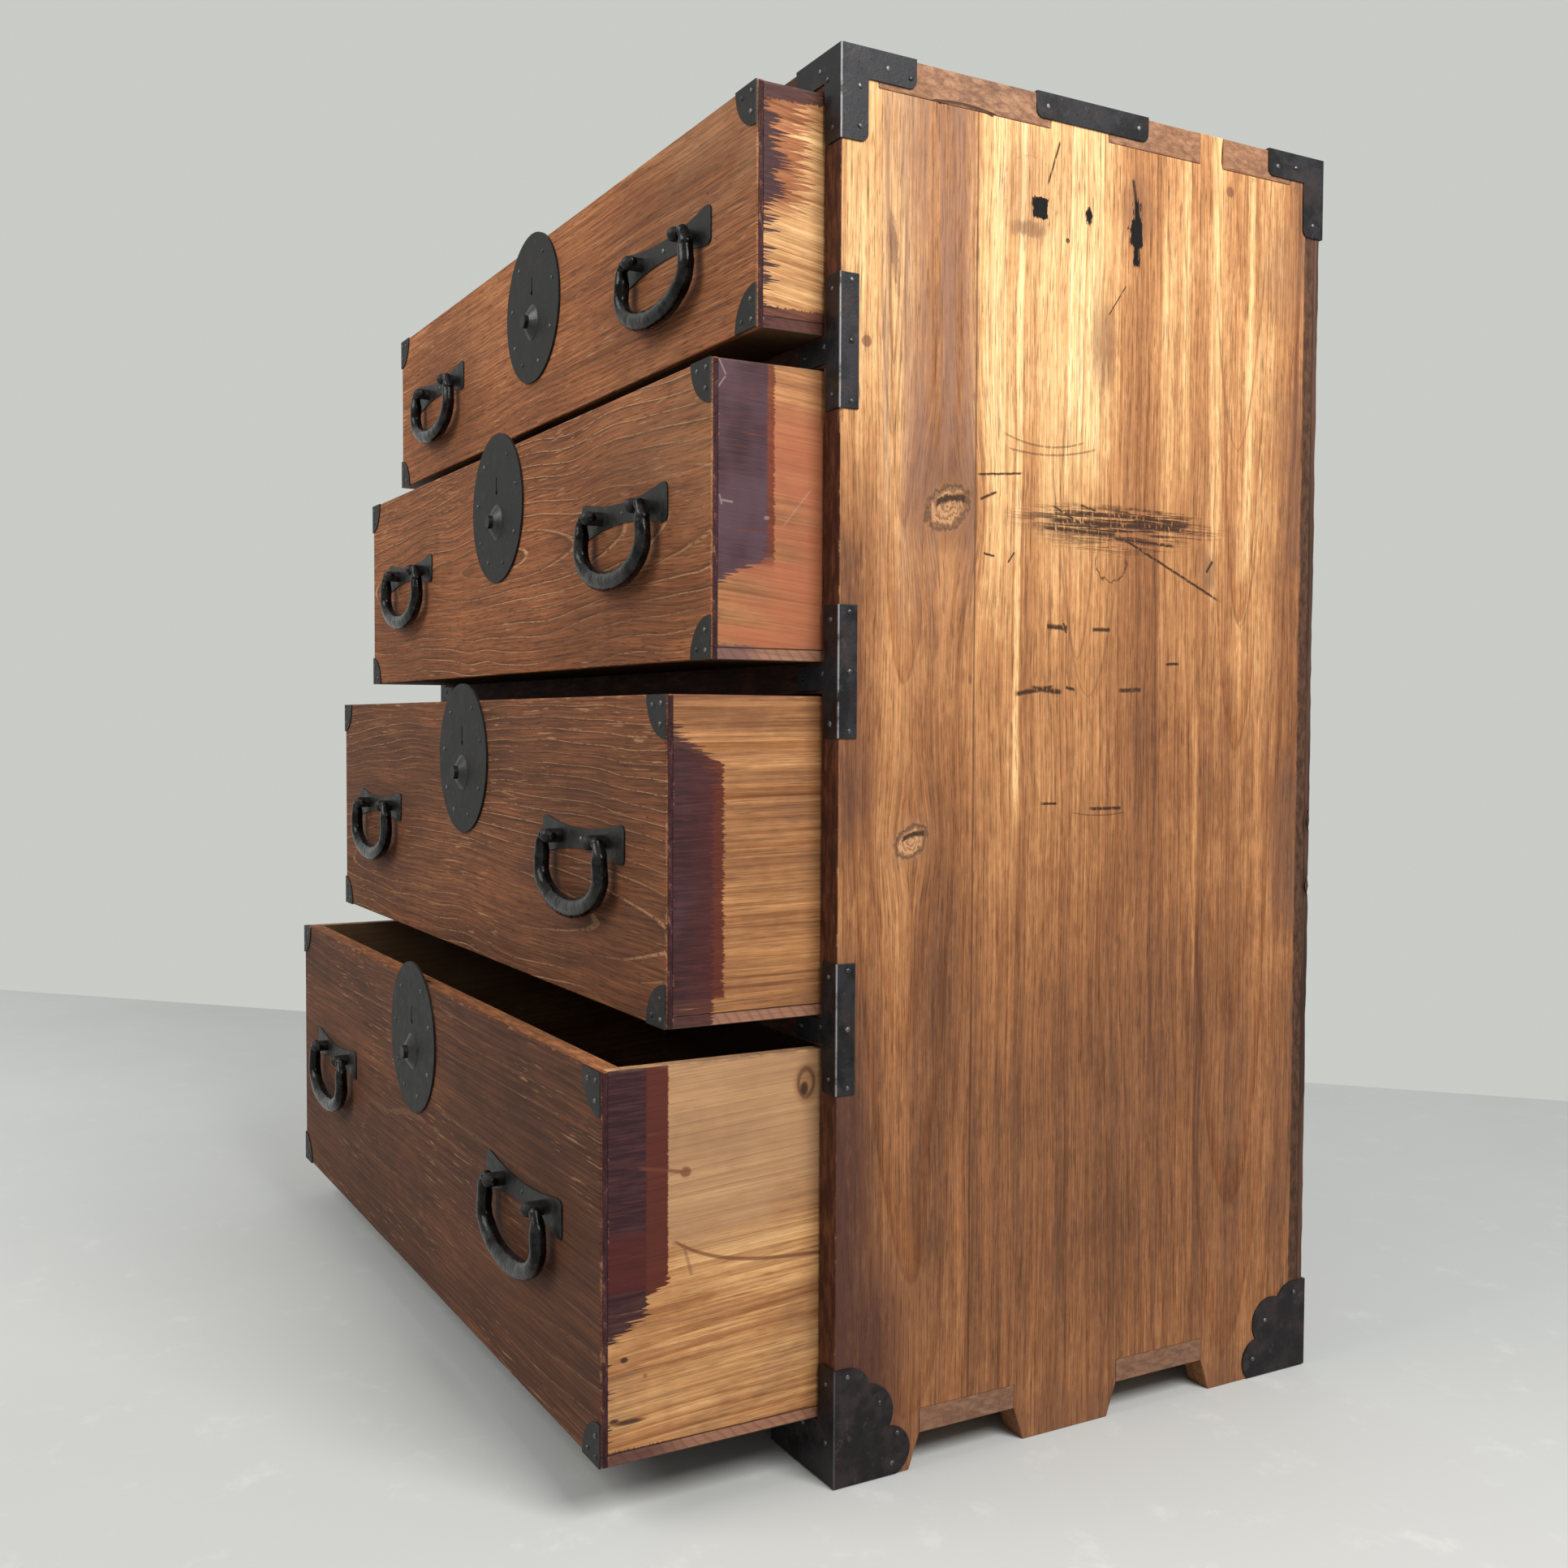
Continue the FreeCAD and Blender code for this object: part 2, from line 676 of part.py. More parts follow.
def side_board(name, right):
    """A side board with feet, the top board's finger notches and three dados."""
    body = doc.addObject("PartDesign::Body", f"{name}_blank")
    outward = not right
    outline = rectangle(0, 0, board_depth, case_height)
    pad(body, f"{name}_board", "YZ_Plane", [outline], size.side_thickness, outward)
    top_of_floor = size.foot_height + size.bottom_thickness
    cutouts = [
        [
            (start - size.foot_flare, 0),
            (start, size.foot_height),
            (start, top_of_floor),
            (end, top_of_floor),
            (end, size.foot_height),
            (end + size.foot_flare, 0),
        ]
        for start, end in foot_edges
    ]
    pocket(body, f"{name}_feet", "YZ_Plane", cutouts, size.side_thickness, right)
    notches = [rectangle(start, top_underside, end, case_height) for start, end in finger_edges]
    pocket(body, f"{name}_notches", "YZ_Plane", notches, size.side_thickness, right)
    dados = []
    for number in SHELF_NAMES:
        low = ceiling_over(number + 1)
        dados.append(rectangle(0, low, board_depth, low + size.shelf_thickness))
    pocket(body, f"{name}_dados", "YZ_Plane", dados, size.dado_depth, right)
    place(body, (inner_half if right else -inner_half, front_y, 0))
    return cut(name, body, case_nails)


def jointed_board(name, thickness, underside, gaps):
    """A full-width board whose ends are cut away where the side boards' wood passes."""
    body = doc.addObject("PartDesign::Body", f"{name}_blank")
    outline = rectangle(0, 0, size.case_width, board_depth)
    pad(body, f"{name}_board", "XY_Plane", [outline], thickness)
    for end_name, left in (("left", as_size(0)), ("right", size.case_width - size.side_thickness)):
        loops = [rectangle(left, low, left + size.side_thickness, high) for low, high in gaps]
        pocket(body, f"{name}_{end_name}_notches", "XY_Plane", loops, thickness, True)
    place(body, (-half_width, front_y, underside))
    return body


def between(edges):
    """The stretches of a side board's edge that the given fingers leave."""
    starts = [as_size(0)] + [end for _, end in edges]
    ends = [start for start, _ in edges] + [board_depth]
    return list(zip(starts, ends))


def bolt_keeper(name, number):
    """The mortise that a drawer's bolt rises into, in the board over that drawer."""
    clear = size.keeper_clearance
    back_of_bolt = size.case_inner_depth - size.slide_clearance * 4
    shut_front = front_y - size.proud_when_shut
    corner = (
        -size.bolt_width / 2 - clear,
        shut_front + back_of_bolt - size.bolt_thickness - clear,
        ceiling_over(number),
    )
    wide = size.bolt_width + 2 * clear
    deep = size.bolt_thickness + 2 * clear
    return box(name, (wide, deep, size.bolt_throw + clear), corner)


side_right = side_board("side_board_right", right=True)
side_left = side_board("side_board_left", right=False)

top_blank = jointed_board("top_board", size.top_thickness, top_underside, between(finger_edges))
top_tools = group("top_board_tools", [case_nails, bolt_keeper("keeper_1", 1)])
top_board = cut("top_board", top_blank, top_tools)

bottom_blank = jointed_board(
    "bottom_board", size.bottom_thickness, size.foot_height, between(foot_edges)
)
bottom_board = cut("bottom_board", bottom_blank, case_nails)

shelves = []
for number, shelf_name in SHELF_NAMES.items():
    low = ceiling_over(number + 1)
    reach = inner_half + size.dado_depth
    shelf_extent = (reach * 2, board_depth, size.shelf_thickness)
    blank = box(f"{shelf_name}_blank", shelf_extent, (-reach, front_y, low))
    keeper = bolt_keeper(f"keeper_{number + 1}", number + 1)
    shelves.append(cut(shelf_name, blank, group(f"{shelf_name}_tools", [case_nails, keeper])))

back_y = front_y + board_depth
back_extent = (size.case_width, size.back_thickness, case_height)
back_blank = box("back_blank", back_extent, (-half_width, back_y, 0))
between_feet = (size.case_width - size.back_foot * 2, size.back_thickness, size.foot_height)
back_cutout = box("back_cutout", between_feet, (size.back_foot - half_width, back_y, 0))
back_panel = cut("back_panel", back_blank, group("back_tools", [back_cutout, case_nails]))

block_extent = (size.foot_block_length, size.foot_block_depth, size.foot_height)
block = box("foot_block", block_extent, (inner_half - size.foot_block_length, front_y, 0))
foot_blocks = cut("front_foot_blocks", pair("foot_block_pair", block), case_nails)

case_corner_irons = cut("case_corner_irons", corner_sheet, case_nails)
case_edge_irons = cut("case_edge_irons", edge_sheet, case_nails)

nodes = [side_right, side_left, top_board, bottom_board, *shelves, back_panel, foot_blocks]
nodes += [case_corner_irons, case_edge_irons, case_nails]

# ---------------------------------------------------------------- drawers
#
# A drawer's pieces are made about its own origin, at the middle of the lower edge of its front
# face, and every one of them is then placed with the drawer.

drawer_half = inner_half - size.gap_side
drawer_depth = board_depth + size.proud_when_shut - size.gap_stop
bolt_back = size.case_inner_depth - size.slide_clearance * 4
LOCK_NAIL_ANGLES = (18, 58, 129, 172, 212, 243, 288, 331)
CORNER_NAIL_SPOTS = ((6, 6), (20, 7), (7, 20))


def drawer_origin(number):
    y = front_y - size.proud_when_shut - drawer_size("pull", number)
    return (0, y, floor_under(number) + size.gap_under)


def lock_centre(number):
    rise = drawer_size("lock_rise", number)
    return drawer_size("drawer_height", number) + rise - size.lock_radius


def handle_height(number):
    return drawer_size("drawer_height", number) - drawer_size("handle_drop", number)


def drawer_nail_spots(number):
    """Nails of the lock plate, of the four corner irons and of the two handle plates."""
    height = drawer_size("drawer_height", number).value
    centre = lock_centre(number).value
    ring = (size.lock_radius - size.lock_nail_inset).value
    spots = []
    for angle in LOCK_NAIL_ANGLES:
        x = ring * math.cos(math.radians(angle))
        z = centre + ring * math.sin(math.radians(angle))
        spots.append((Vector(x, -size.lock_sheet.value, z), FRONT))
    y = -sheet_iron.value
    half = drawer_half.value
    for side in (-1, 1):
        for inward, along in CORNER_NAIL_SPOTS:
            spots.append((Vector(side * (half - inward), y, along), FRONT))
            spots.append((Vector(side * (half - inward), y, height - along), FRONT))
        handle_x = half - size.handle_inset.value
        spots.append((Vector(side * handle_x, y, handle_height(number).value), FRONT))
    return spots


def case_shell(name, number, inflate=0):
    """Outer block of the lock case behind the plate, grown by inflate on its open sides."""
    top = drawer_size("drawer_height", number) - size.case_top_drop
    low = lock_centre(number) - size.boss_drop - size.case_below_boss
    half = size.case_half_width + inflate
    deep = size.case_inner_depth + size.case_wall + inflate
    return box(name, (half * 2, deep, top - low + inflate), (-half, 0, low - inflate))


def lock_mortise(name, number):
    """Room for the lock case in the drawer front, open at the front and at the top edge."""
    room = case_shell(f"{name}_room", number, size.seat_gap)
    top = drawer_size("drawer_height", number)
    half = size.case_half_width + size.seat_gap
    deep = size.case_inner_depth + size.case_wall + size.seat_gap
    mouth_extent = (half * 2, deep, size.case_top_drop * 3)
    mouth = box(f"{name}_mouth", mouth_extent, (-half, 0, top - size.case_top_drop * 2))
    return fuse(name, [room, mouth])


def lock(name, number, nails_here):
    """Round plate with keyhole, boss and button bore, and the open case riveted behind it."""
    centre = lock_centre(number)
    sheet_y = -size.lock_sheet
    height = drawer_size("drawer_height", number)
    disc = cylinder(f"{name}_disc", size.lock_radius, size.lock_sheet, (0, sheet_y, centre), "y")
    boss_z = centre - size.boss_drop
    boss_y = sheet_y - size.boss_height
    boss = cone(
        f"{name}_boss",
        size.boss_tip_radius,
        size.boss_foot_radius,
        size.boss_height,
        (0, boss_y, boss_z),
        "y",
    )
    shell = case_shell(f"{name}_shell", number)
    case_top = height - size.case_top_drop
    case_low = boss_z - size.case_below_boss
    wall = size.case_wall
    inner_half_width = size.case_half_width - wall
    room_extent = (inner_half_width * 2, size.case_inner_depth, case_top - case_low - wall * 2)
    room = box(f"{name}_room", room_extent, (-inner_half_width, 0, case_low + wall))
    clear = size.slide_clearance * 4
    slot_extent = (size.bolt_width + clear * 2, size.bolt_thickness + clear * 2, wall * 3)
    slot_corner = (
        -size.bolt_width / 2 - clear,
        bolt_back - size.bolt_thickness - clear,
        case_top - wall * 2,
    )
    slot = box(f"{name}_slot", slot_extent, slot_corner)
    bore_radius = size.button_radius + size.slide_clearance
    bore_length = size.boss_height + size.lock_sheet + 2
    bore = cylinder(f"{name}_bore", bore_radius, bore_length, (0, boss_y - 1, boss_z), "y")
    key_low = centre + size.keyhole_bottom
    key_extent = (size.keyhole_width, size.lock_sheet + 2, size.keyhole_length)
    key_slot = box(f"{name}_key_slot", key_extent, (-size.keyhole_width / 2, sheet_y - 1, key_low))
    key_round = cylinder(
        f"{name}_key_round",
        size.keyhole_pin_radius,
        size.lock_sheet + 2,
        (0, sheet_y - 1, key_low),
        "y",
    )
    keyhole = fuse(f"{name}_keyhole", [key_slot, key_round])
    hollow_case = cut(f"{name}_case", shell, group(f"{name}_hollows", [room, slot]))
    ledge_extent = (size.bolt_width, size.case_inner_depth + wall, wall)
    bolt_low = height - size.bolt_top_drop - size.bolt_height
    ledge_corner = (-size.bolt_width / 2, 0, bolt_low - size.seat_gap - wall)
    ledge = box(f"{name}_ledge", ledge_extent, ledge_corner)
    body = fuse(f"{name}_body", [disc, boss, hollow_case, ledge])
    return cut(name, body, group(f"{name}_holes", [bore, keyhole, nails_here]))


def lock_button(name, number):
    """Push button in the boss's bore, with the flange that keeps it in."""
    boss_z = lock_centre(number) - size.boss_drop
    tip_y = -size.lock_sheet - size.boss_height - size.button_stand
    flange_y = size.slide_clearance
    stem_length = flange_y + size.button_flange - tip_y
    stem = cylinder(f"{name}_stem", size.button_radius, stem_length, (0, tip_y, boss_z), "y")
    flange_size = (size.button_flange_radius, size.button_flange)
    flange = cylinder(f"{name}_flange", *flange_size, (0, flange_y, boss_z), "y")
    return fuse(name, [stem, flange])


def lock_bolt(name, number):
    """Flat bolt that the key lifts out of the lock case's top."""
    low = drawer_size("drawer_height", number) - size.bolt_top_drop - size.bolt_height
    corner = (-size.bolt_width / 2, bolt_back - size.bolt_thickness, low)
    return box(name, (size.bolt_width, size.bolt_thickness, size.bolt_height), corner)


def post_holes(name, number):
    """Holes for the shanks of the four eye posts, through back plates and drawer front."""
    shapes = []
    centre = drawer_half - size.handle_inset
    length = size.front_thickness + sheet_iron * 4
    for side in (-1, 1):
        for way in (-1, 1):
            x = side * centre + way * size.post_spacing / 2
            base = (x, -sheet_iron * 2, handle_height(number))
            hole_name = f"{name}_{len(shapes)}"
            shapes.append(cylinder(hole_name, size.post_shank_radius, length, base, "y"))
    return group(name, shapes)


def handle_plate(name, middle_x, height):
    """Waisted back plate: a strip whose long edges are hollowed by large arcs."""
    half = size.plate_length / 2
    strip_corner = (middle_x - half, -sheet_iron, height - size.plate_wing / 2)
    strip = box(f"{name}_strip", (size.plate_length, sheet_iron, size.plate_wing), strip_corner)
    hollow_depth = (size.plate_wing - size.plate_waist) / 2
    chord = half.value - size.plate_corner.value * 2
    arc_radius = (chord**2 + hollow_depth.value**2) / (2 * hollow_depth.value)
    hollows = []
    for way in (-1, 1):
        centre_z = height + way * (size.plate_waist / 2 + arc_radius)
        base = (middle_x, -sheet_iron * 2, centre_z)
        hollow_name = f"{name}_hollow_{len(hollows)}"
        hollows.append(cylinder(hollow_name, arc_radius, sheet_iron * 3, base, "y"))
    waisted = cut(f"{name}_waisted", strip, group(f"{name}_hollows", hollows))
    ends = [middle_x - half, middle_x + half]
    levels = [height - size.plate_wing / 2, height + size.plate_wing / 2]
    corners = [(end, level) for end in ends for level in levels]
    return rounded(name, waisted, "y", corners, size.plate_corner)


def eye_post(name, x, height):
    """Round post with a ball head and the cross hole that a bail's pin turns in."""
    barrel_length = size.bail_stand + size.post_nose - sheet_iron
    barrel_place = (x, -size.bail_stand - size.post_nose, height)
    barrel = cylinder(f"{name}_barrel", size.post_radius, barrel_length, barrel_place, "y")
    head = ball(f"{name}_head", size.post_radius, barrel_place)
    shank_length = size.front_thickness + size.post_leg_thickness + sheet_iron
    shank_base = (x, -sheet_iron, height)
    shank = cylinder(f"{name}_shank", size.post_shank_radius, shank_length, shank_base, "y")
    leg_extent = (size.post_leg_length, size.post_leg_thickness, size.post_leg_width)
    leg_corner = (
        x - size.post_leg_length / 2,
        size.front_thickness,
        height - size.post_leg_width / 2,
    )
    legs = box(f"{name}_legs", leg_extent, leg_corner)
    eye_radius = size.bail_pin_radius + size.slide_clearance
    eye_place = (x - size.post_radius * 2, -size.bail_stand, height)
    eye = cylinder(f"{name}_eye", eye_radius, size.post_radius * 4, eye_place, "x")
    return cut(name, fuse(f"{name}_solid", [barrel, head, shank, legs]), eye)


def handle_mounts(name, number, holes, nails_here):
    """Both back plates and the four eye posts of a drawer."""
    height = handle_height(number)
    tools = group(f"{name}_tools", [holes, nails_here])
    shapes = []
    for side, side_name in ((-1, "left"), (1, "right")):
        centre = side * (drawer_half - size.handle_inset)
        plate = handle_plate(f"{name}_{side_name}_plate", centre, height)
        shapes.append(cut(f"{name}_{side_name}_pierced", plate, tools))
        for way, way_name in ((-1, "inner"), (1, "outer")):
            x = centre + way * size.post_spacing / 2
            shapes.append(eye_post(f"{name}_{side_name}_{way_name}_post", x, height))
    return group(name, shapes)


def bail(name, number, side):
    """Forged bail: a bar that swells towards the grip, with a pin at each end.

    It hangs from its own origin, which is on the pins' axis, and is then placed.
    """
    shoulder = size.post_spacing.value / 2 + size.post_radius.value
    shoulder += size.bail_shoulder_gap.value + size.bail_bar.value
    reach = size.bail_reach.value
    straight = size.bail_straight.value
    bend = size.bail_bend.value
    path = [Vector(shoulder, 0, 0), Vector(shoulder + (reach - shoulder) * 0.75, 0, -straight / 2)]
    steps = 7
    for step in range(steps + 1):
        angle = math.pi / 2 * step / steps
        path.append(Vector(reach * math.cos(angle), 0, -straight - bend * math.sin(angle)))
    path += [Vector(-point.x, 0, point.z) for point in reversed(path[:-1])]
    rings = []
    for i, point in enumerate(path):
        before = path[max(i - 1, 0)]
        after = path[min(i + 1, len(path) - 1)]
        along = (after - before).normalize()
        swell = math.sin(math.pi * i / (len(path) - 1)) ** 2
        high = size.bail_bar.value + (size.bail_belly.value - size.bail_bar.value) * swell
        depth_range = size.bail_belly_depth.value - size.bail_bar_depth.value
        deep = size.bail_bar_depth.value + depth_range * swell
        ellipse = Part.Ellipse(Vector(), high, deep).toShape()
        outward = Vector(0, 1, 0).cross(along)
        turn = Rotation(outward, Vector(0, 1, 0), along, "XZY")
        ellipse.Placement = Placement(point, turn)
        rings.append(Part.Wire(ellipse))
    bar = Part.makeLoft(rings, True, False)
    pieces = []
    inner_end = size.post_spacing.value / 2 - size.post_radius.value - size.bail_pin_overrun.value
    for way in (-1, 1):
        pieces.append(Part.makeSphere(size.bail_bar.value, Vector(way * shoulder, 0, 0)))
        start = Vector(way * inner_end, 0, 0)
        pin = Part.makeCylinder(size.bail_pin_radius.value, shoulder - inner_end, start, Vector(way, 0, 0))
        pieces.append(pin)
    made = doc.addObject("Part::Feature", name)
    made.Shape = bar.fuse(pieces).removeSplitter()
    x, y, z = drawer_origin(number)
    handle_x = side * (drawer_half - size.handle_inset)
    place(made, (x + handle_x, y - size.bail_stand, z + handle_height(number)))
    return made


def corner_irons(name, number, nails_here):
    """Quarter-round irons at the four corners of a drawer front."""
    height = drawer_size("drawer_height", number)
    quarters = []
    for side, level, start in ((1, 0, 90), (-1, 0, 0), (-1, height, 270), (1, height, 180)):
        quarter = doc.addObject("Part::Cylinder", f"{name}_quarter_{len(quarters)}")
        bind(quarter, "Radius", size.corner_iron_radius)
        bind(quarter, "Height", sheet_iron)
        quarter.Angle = 90
        upright = Rotation(Vector(1, 0, 0), 90)
        quarter.Placement = Placement(Vector(), upright.multiply(Rotation(Vector(0, 0, 1), start)))
        place(quarter, (side * drawer_half, 0, level))
        quarters.append(quarter)
    return cut(name, group(f"{name}_quarters", quarters), nails_here)


def drawer_front(name, number, holes, nails_here):
    """Front board: lipped over the ends of the sides and over the bottom board."""
    height = drawer_size("drawer_height", number)
    extent = (drawer_half * 2, size.front_thickness, height)
    blank = box(f"{name}_blank", extent, (-drawer_half, 0, 0))
    doc.recompute()
    front_edges = [
        (index, size.edge_round.value, size.edge_round.value)
        for index, edge in enumerate(blank.Shape.Edges, start=1)
        if all(abs(vertex.Point.y) < 0.001 for vertex in edge.Vertexes)
    ]
    eased = doc.addObject("Part::Fillet", f"{name}_eased")
    eased.Base = blank
    eased.Edges = front_edges
    rebate_depth = size.front_thickness - size.front_lip
    side_rebate = (size.drawer_side, rebate_depth, height)
    bottom_rebate = (drawer_half * 2, rebate_depth, size.drawer_bottom)
    left_corner = (-drawer_half, size.front_lip, 0)
    right_corner = (drawer_half - size.drawer_side, size.front_lip, 0)
    rebates = [
        box(f"{name}_rebate_right", side_rebate, right_corner),
        box(f"{name}_rebate_left", side_rebate, left_corner),
        box(f"{name}_rebate_bottom", bottom_rebate, left_corner),
    ]
    room = fuse(f"{name}_room", rebates + [lock_mortise(f"{name}_mortise", number)])
    return cut(name, cut(f"{name}_shaped", eased, room), group(f"{name}_tools", [holes, nails_here]))


def drawer(number):
    """All the pieces of one drawer but its bails, placed where the drawer stands."""
    prefix = f"drawer_{number}"
    height = drawer_size("drawer_height", number)
    nail_set = nails(f"{prefix}_nail_set", drawer_nail_spots(number))
    holes = post_holes(f"{prefix}_post_holes", number)
    side_length = drawer_depth - size.front_lip
    side_extent = (size.drawer_side, side_length, height - size.drawer_bottom)
    side_corner = (drawer_half - size.drawer_side, size.front_lip, size.drawer_bottom)
    side = box(f"{prefix}_side", side_extent, side_corner)
    between_sides = (drawer_half - size.drawer_side) * 2
    back_board_extent = (between_sides, size.drawer_back, height - size.drawer_bottom - size.back_drop)
    back_board_corner = (-between_sides / 2, drawer_depth - size.drawer_back, size.drawer_bottom)
    bottom_extent = (drawer_half * 2, side_length, size.drawer_bottom)
    bottom_corner = (-drawer_half, size.front_lip, 0)
    bottom = box(f"{prefix}_bottom_blank", bottom_extent, bottom_corner)
    made = {
        "front": drawer_front(f"{prefix}_front_board", number, holes, nail_set),
        "sides": cut(f"{prefix}_side_boards", pair(f"{prefix}_side_pair", side), nail_set),
        "back": box(f"{prefix}_back_board", back_board_extent, back_board_corner),
        "bottom": cut(f"{prefix}_bottom_board", bottom, nail_set),
        "corner_irons": corner_irons(f"{prefix}_corner_sheet", number, nail_set),
        "lock": lock(f"{prefix}_lock_body", number, nail_set),
        "lock_button": lock_button(f"{prefix}_button_body", number),
        "lock_bolt": lock_bolt(f"{prefix}_bolt_bar", number),
        "handle_mounts": handle_mounts(f"{prefix}_mounts", number, holes, nail_set),
        "nails": nail_set,
    }
    return [
        place(group(f"{prefix}_{node_name}", [piece]), drawer_origin(number))
        for node_name, piece in made.items()
    ]


for number in DRAWERS:
    nodes += drawer(number)
    nodes.append(bail(f"drawer_{number}_bail_right", number, 1))
    nodes.append(bail(f"drawer_{number}_bail_left", number, -1))

# ---------------------------------------------------------------- checks and export

doc.recompute()
for thing in doc.Objects:
    if {"Invalid", "Error"} & set(thing.State):
        raise RuntimeError(f"{thing.Name} was not built: {thing.State}")

os.makedirs("parts", exist_ok=True)
for node in nodes:
    if node.Shape.isNull() or not node.Shape.isValid() or not node.Shape.Solids:
        raise RuntimeError(f"{node.Label} has no valid solid")
    node.Shape.exportStep(f"parts/{node.Label}.step")
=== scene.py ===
import json
import math

import bmesh
import bpy
from mathutils import Matrix, Vector, noise

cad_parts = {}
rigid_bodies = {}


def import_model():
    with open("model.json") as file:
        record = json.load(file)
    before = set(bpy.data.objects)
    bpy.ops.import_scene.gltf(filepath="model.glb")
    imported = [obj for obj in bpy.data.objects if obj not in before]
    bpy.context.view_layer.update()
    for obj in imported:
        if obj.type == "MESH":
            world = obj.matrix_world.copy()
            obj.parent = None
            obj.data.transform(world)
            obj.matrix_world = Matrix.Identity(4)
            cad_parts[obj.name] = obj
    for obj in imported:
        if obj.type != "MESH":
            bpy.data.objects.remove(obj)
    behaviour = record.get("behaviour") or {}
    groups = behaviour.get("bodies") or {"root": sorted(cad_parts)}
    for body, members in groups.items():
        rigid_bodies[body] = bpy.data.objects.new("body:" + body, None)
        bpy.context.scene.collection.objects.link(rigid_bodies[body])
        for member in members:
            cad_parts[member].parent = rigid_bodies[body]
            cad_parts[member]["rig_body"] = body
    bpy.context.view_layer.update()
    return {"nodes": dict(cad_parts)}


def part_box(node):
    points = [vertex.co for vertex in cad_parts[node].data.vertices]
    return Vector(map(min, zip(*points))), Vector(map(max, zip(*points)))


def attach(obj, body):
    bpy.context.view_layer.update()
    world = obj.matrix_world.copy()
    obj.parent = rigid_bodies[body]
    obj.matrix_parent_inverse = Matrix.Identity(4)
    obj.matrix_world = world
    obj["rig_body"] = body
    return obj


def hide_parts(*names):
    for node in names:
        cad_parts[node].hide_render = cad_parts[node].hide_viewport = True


bl_info = {
    "name": "Tansu chest finish",
    "version": (1, 0, 0),
    "blender": (4, 5, 0),
    "location": "View3D > Sidebar > Tansu",
    "description": "Worn boards, old lacquer and blackened iron for a four-drawer tansu chest",
    "category": "Object",
}

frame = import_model()

MM = 0.001
DEEP, UP = 1, 2
DRAWERS = (1, 2, 3, 4)
CASE_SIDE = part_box("side_board_right")[1].x
CASE_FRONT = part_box("side_board_right")[0].y
DRAWER_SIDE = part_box("drawer_1_front")[1].x
SHEET = 1.2 * MM


# ---------------------------------------------------------------- node trees


def arithmetic(operation, turned=False):
    """A method that adds one kind of Math node; turned puts the wire itself last."""

    def method(self, *others):
        values = [*others, self] if turned else [self, *others]
        return self.net.node("ShaderNodeMath", {"operation": operation}, values)

    return method


class Wire:
    """A value in a node tree; arithmetic on it adds Math nodes."""

    def __init__(self, net, socket):
        self.net = net
        self.socket = socket

    __add__ = __radd__ = arithmetic("ADD")
    __sub__ = arithmetic("SUBTRACT")
    __rsub__ = arithmetic("SUBTRACT", turned=True)
    __mul__ = __rmul__ = arithmetic("MULTIPLY")
    __truediv__ = arithmetic("DIVIDE")
    __rtruediv__ = arithmetic("DIVIDE", turned=True)
    __pow__ = arithmetic("POWER")
    __abs__ = arithmetic("ABSOLUTE")
    exponent = arithmetic("EXPONENT")
    floor = arithmetic("FLOOR")
    fract = arithmetic("FRACT")
    least = arithmetic("MINIMUM")
    most = arithmetic("MAXIMUM")
    root = arithmetic("SQRT")
    times_plus = arithmetic("MULTIPLY_ADD")

    def rise(self, low, high):
        """Smooth step: 0 at low, 1 at high, either way round."""
        settings = {"interpolation_type": "SMOOTHSTEP"}
        inputs = {"Value": self, "From Min": low, "From Max": high}
        return self.net.node("ShaderNodeMapRange", settings, inputs)

    def span(self, low, high, soft):
        """1 between low and high, fading out over soft on either side."""
        return self.rise(low - soft, low) * self.rise(high + soft, high)

    def beside(self, name):
        """Another output of the node that this wire comes from."""
        return Wire(self.net, self.socket.node.outputs[name])


class Tree:
    """A node tree, filled with nodes by their kind, settings and inputs."""

    def __init__(self, tree):
        self.tree = tree
        tree.nodes.clear()

    def feed(self, socket, value):
        if isinstance(value, Wire):
            self.tree.links.new(value.socket, socket)
        elif socket.type == "RGBA":
            socket.default_value = (*value, 1)
        else:
            socket.default_value = value

    def node(self, kind, settings=None, inputs=(), output=0):
        """Adds a node and gives the wire from one of its outputs, if it has any."""
        made = self.tree.nodes.new(kind)
        for name, value in (settings or {}).items():
            if name == "stops":
                self.set_stops(made.color_ramp, value)
            else:
                setattr(made, name, value)
        pairs = inputs.items() if isinstance(inputs, dict) else enumerate(inputs)
        for key, value in pairs:
            self.feed(made.inputs[key], value)
        return Wire(self, made.outputs[output]) if made.outputs else made

    @staticmethod
    def set_stops(ramp, stops):
        while len(ramp.elements) < len(stops):
            ramp.elements.new(1)
        for element, (position, colour) in zip(ramp.elements, stops):
            element.position = position
            element.color = (*colour, 1)


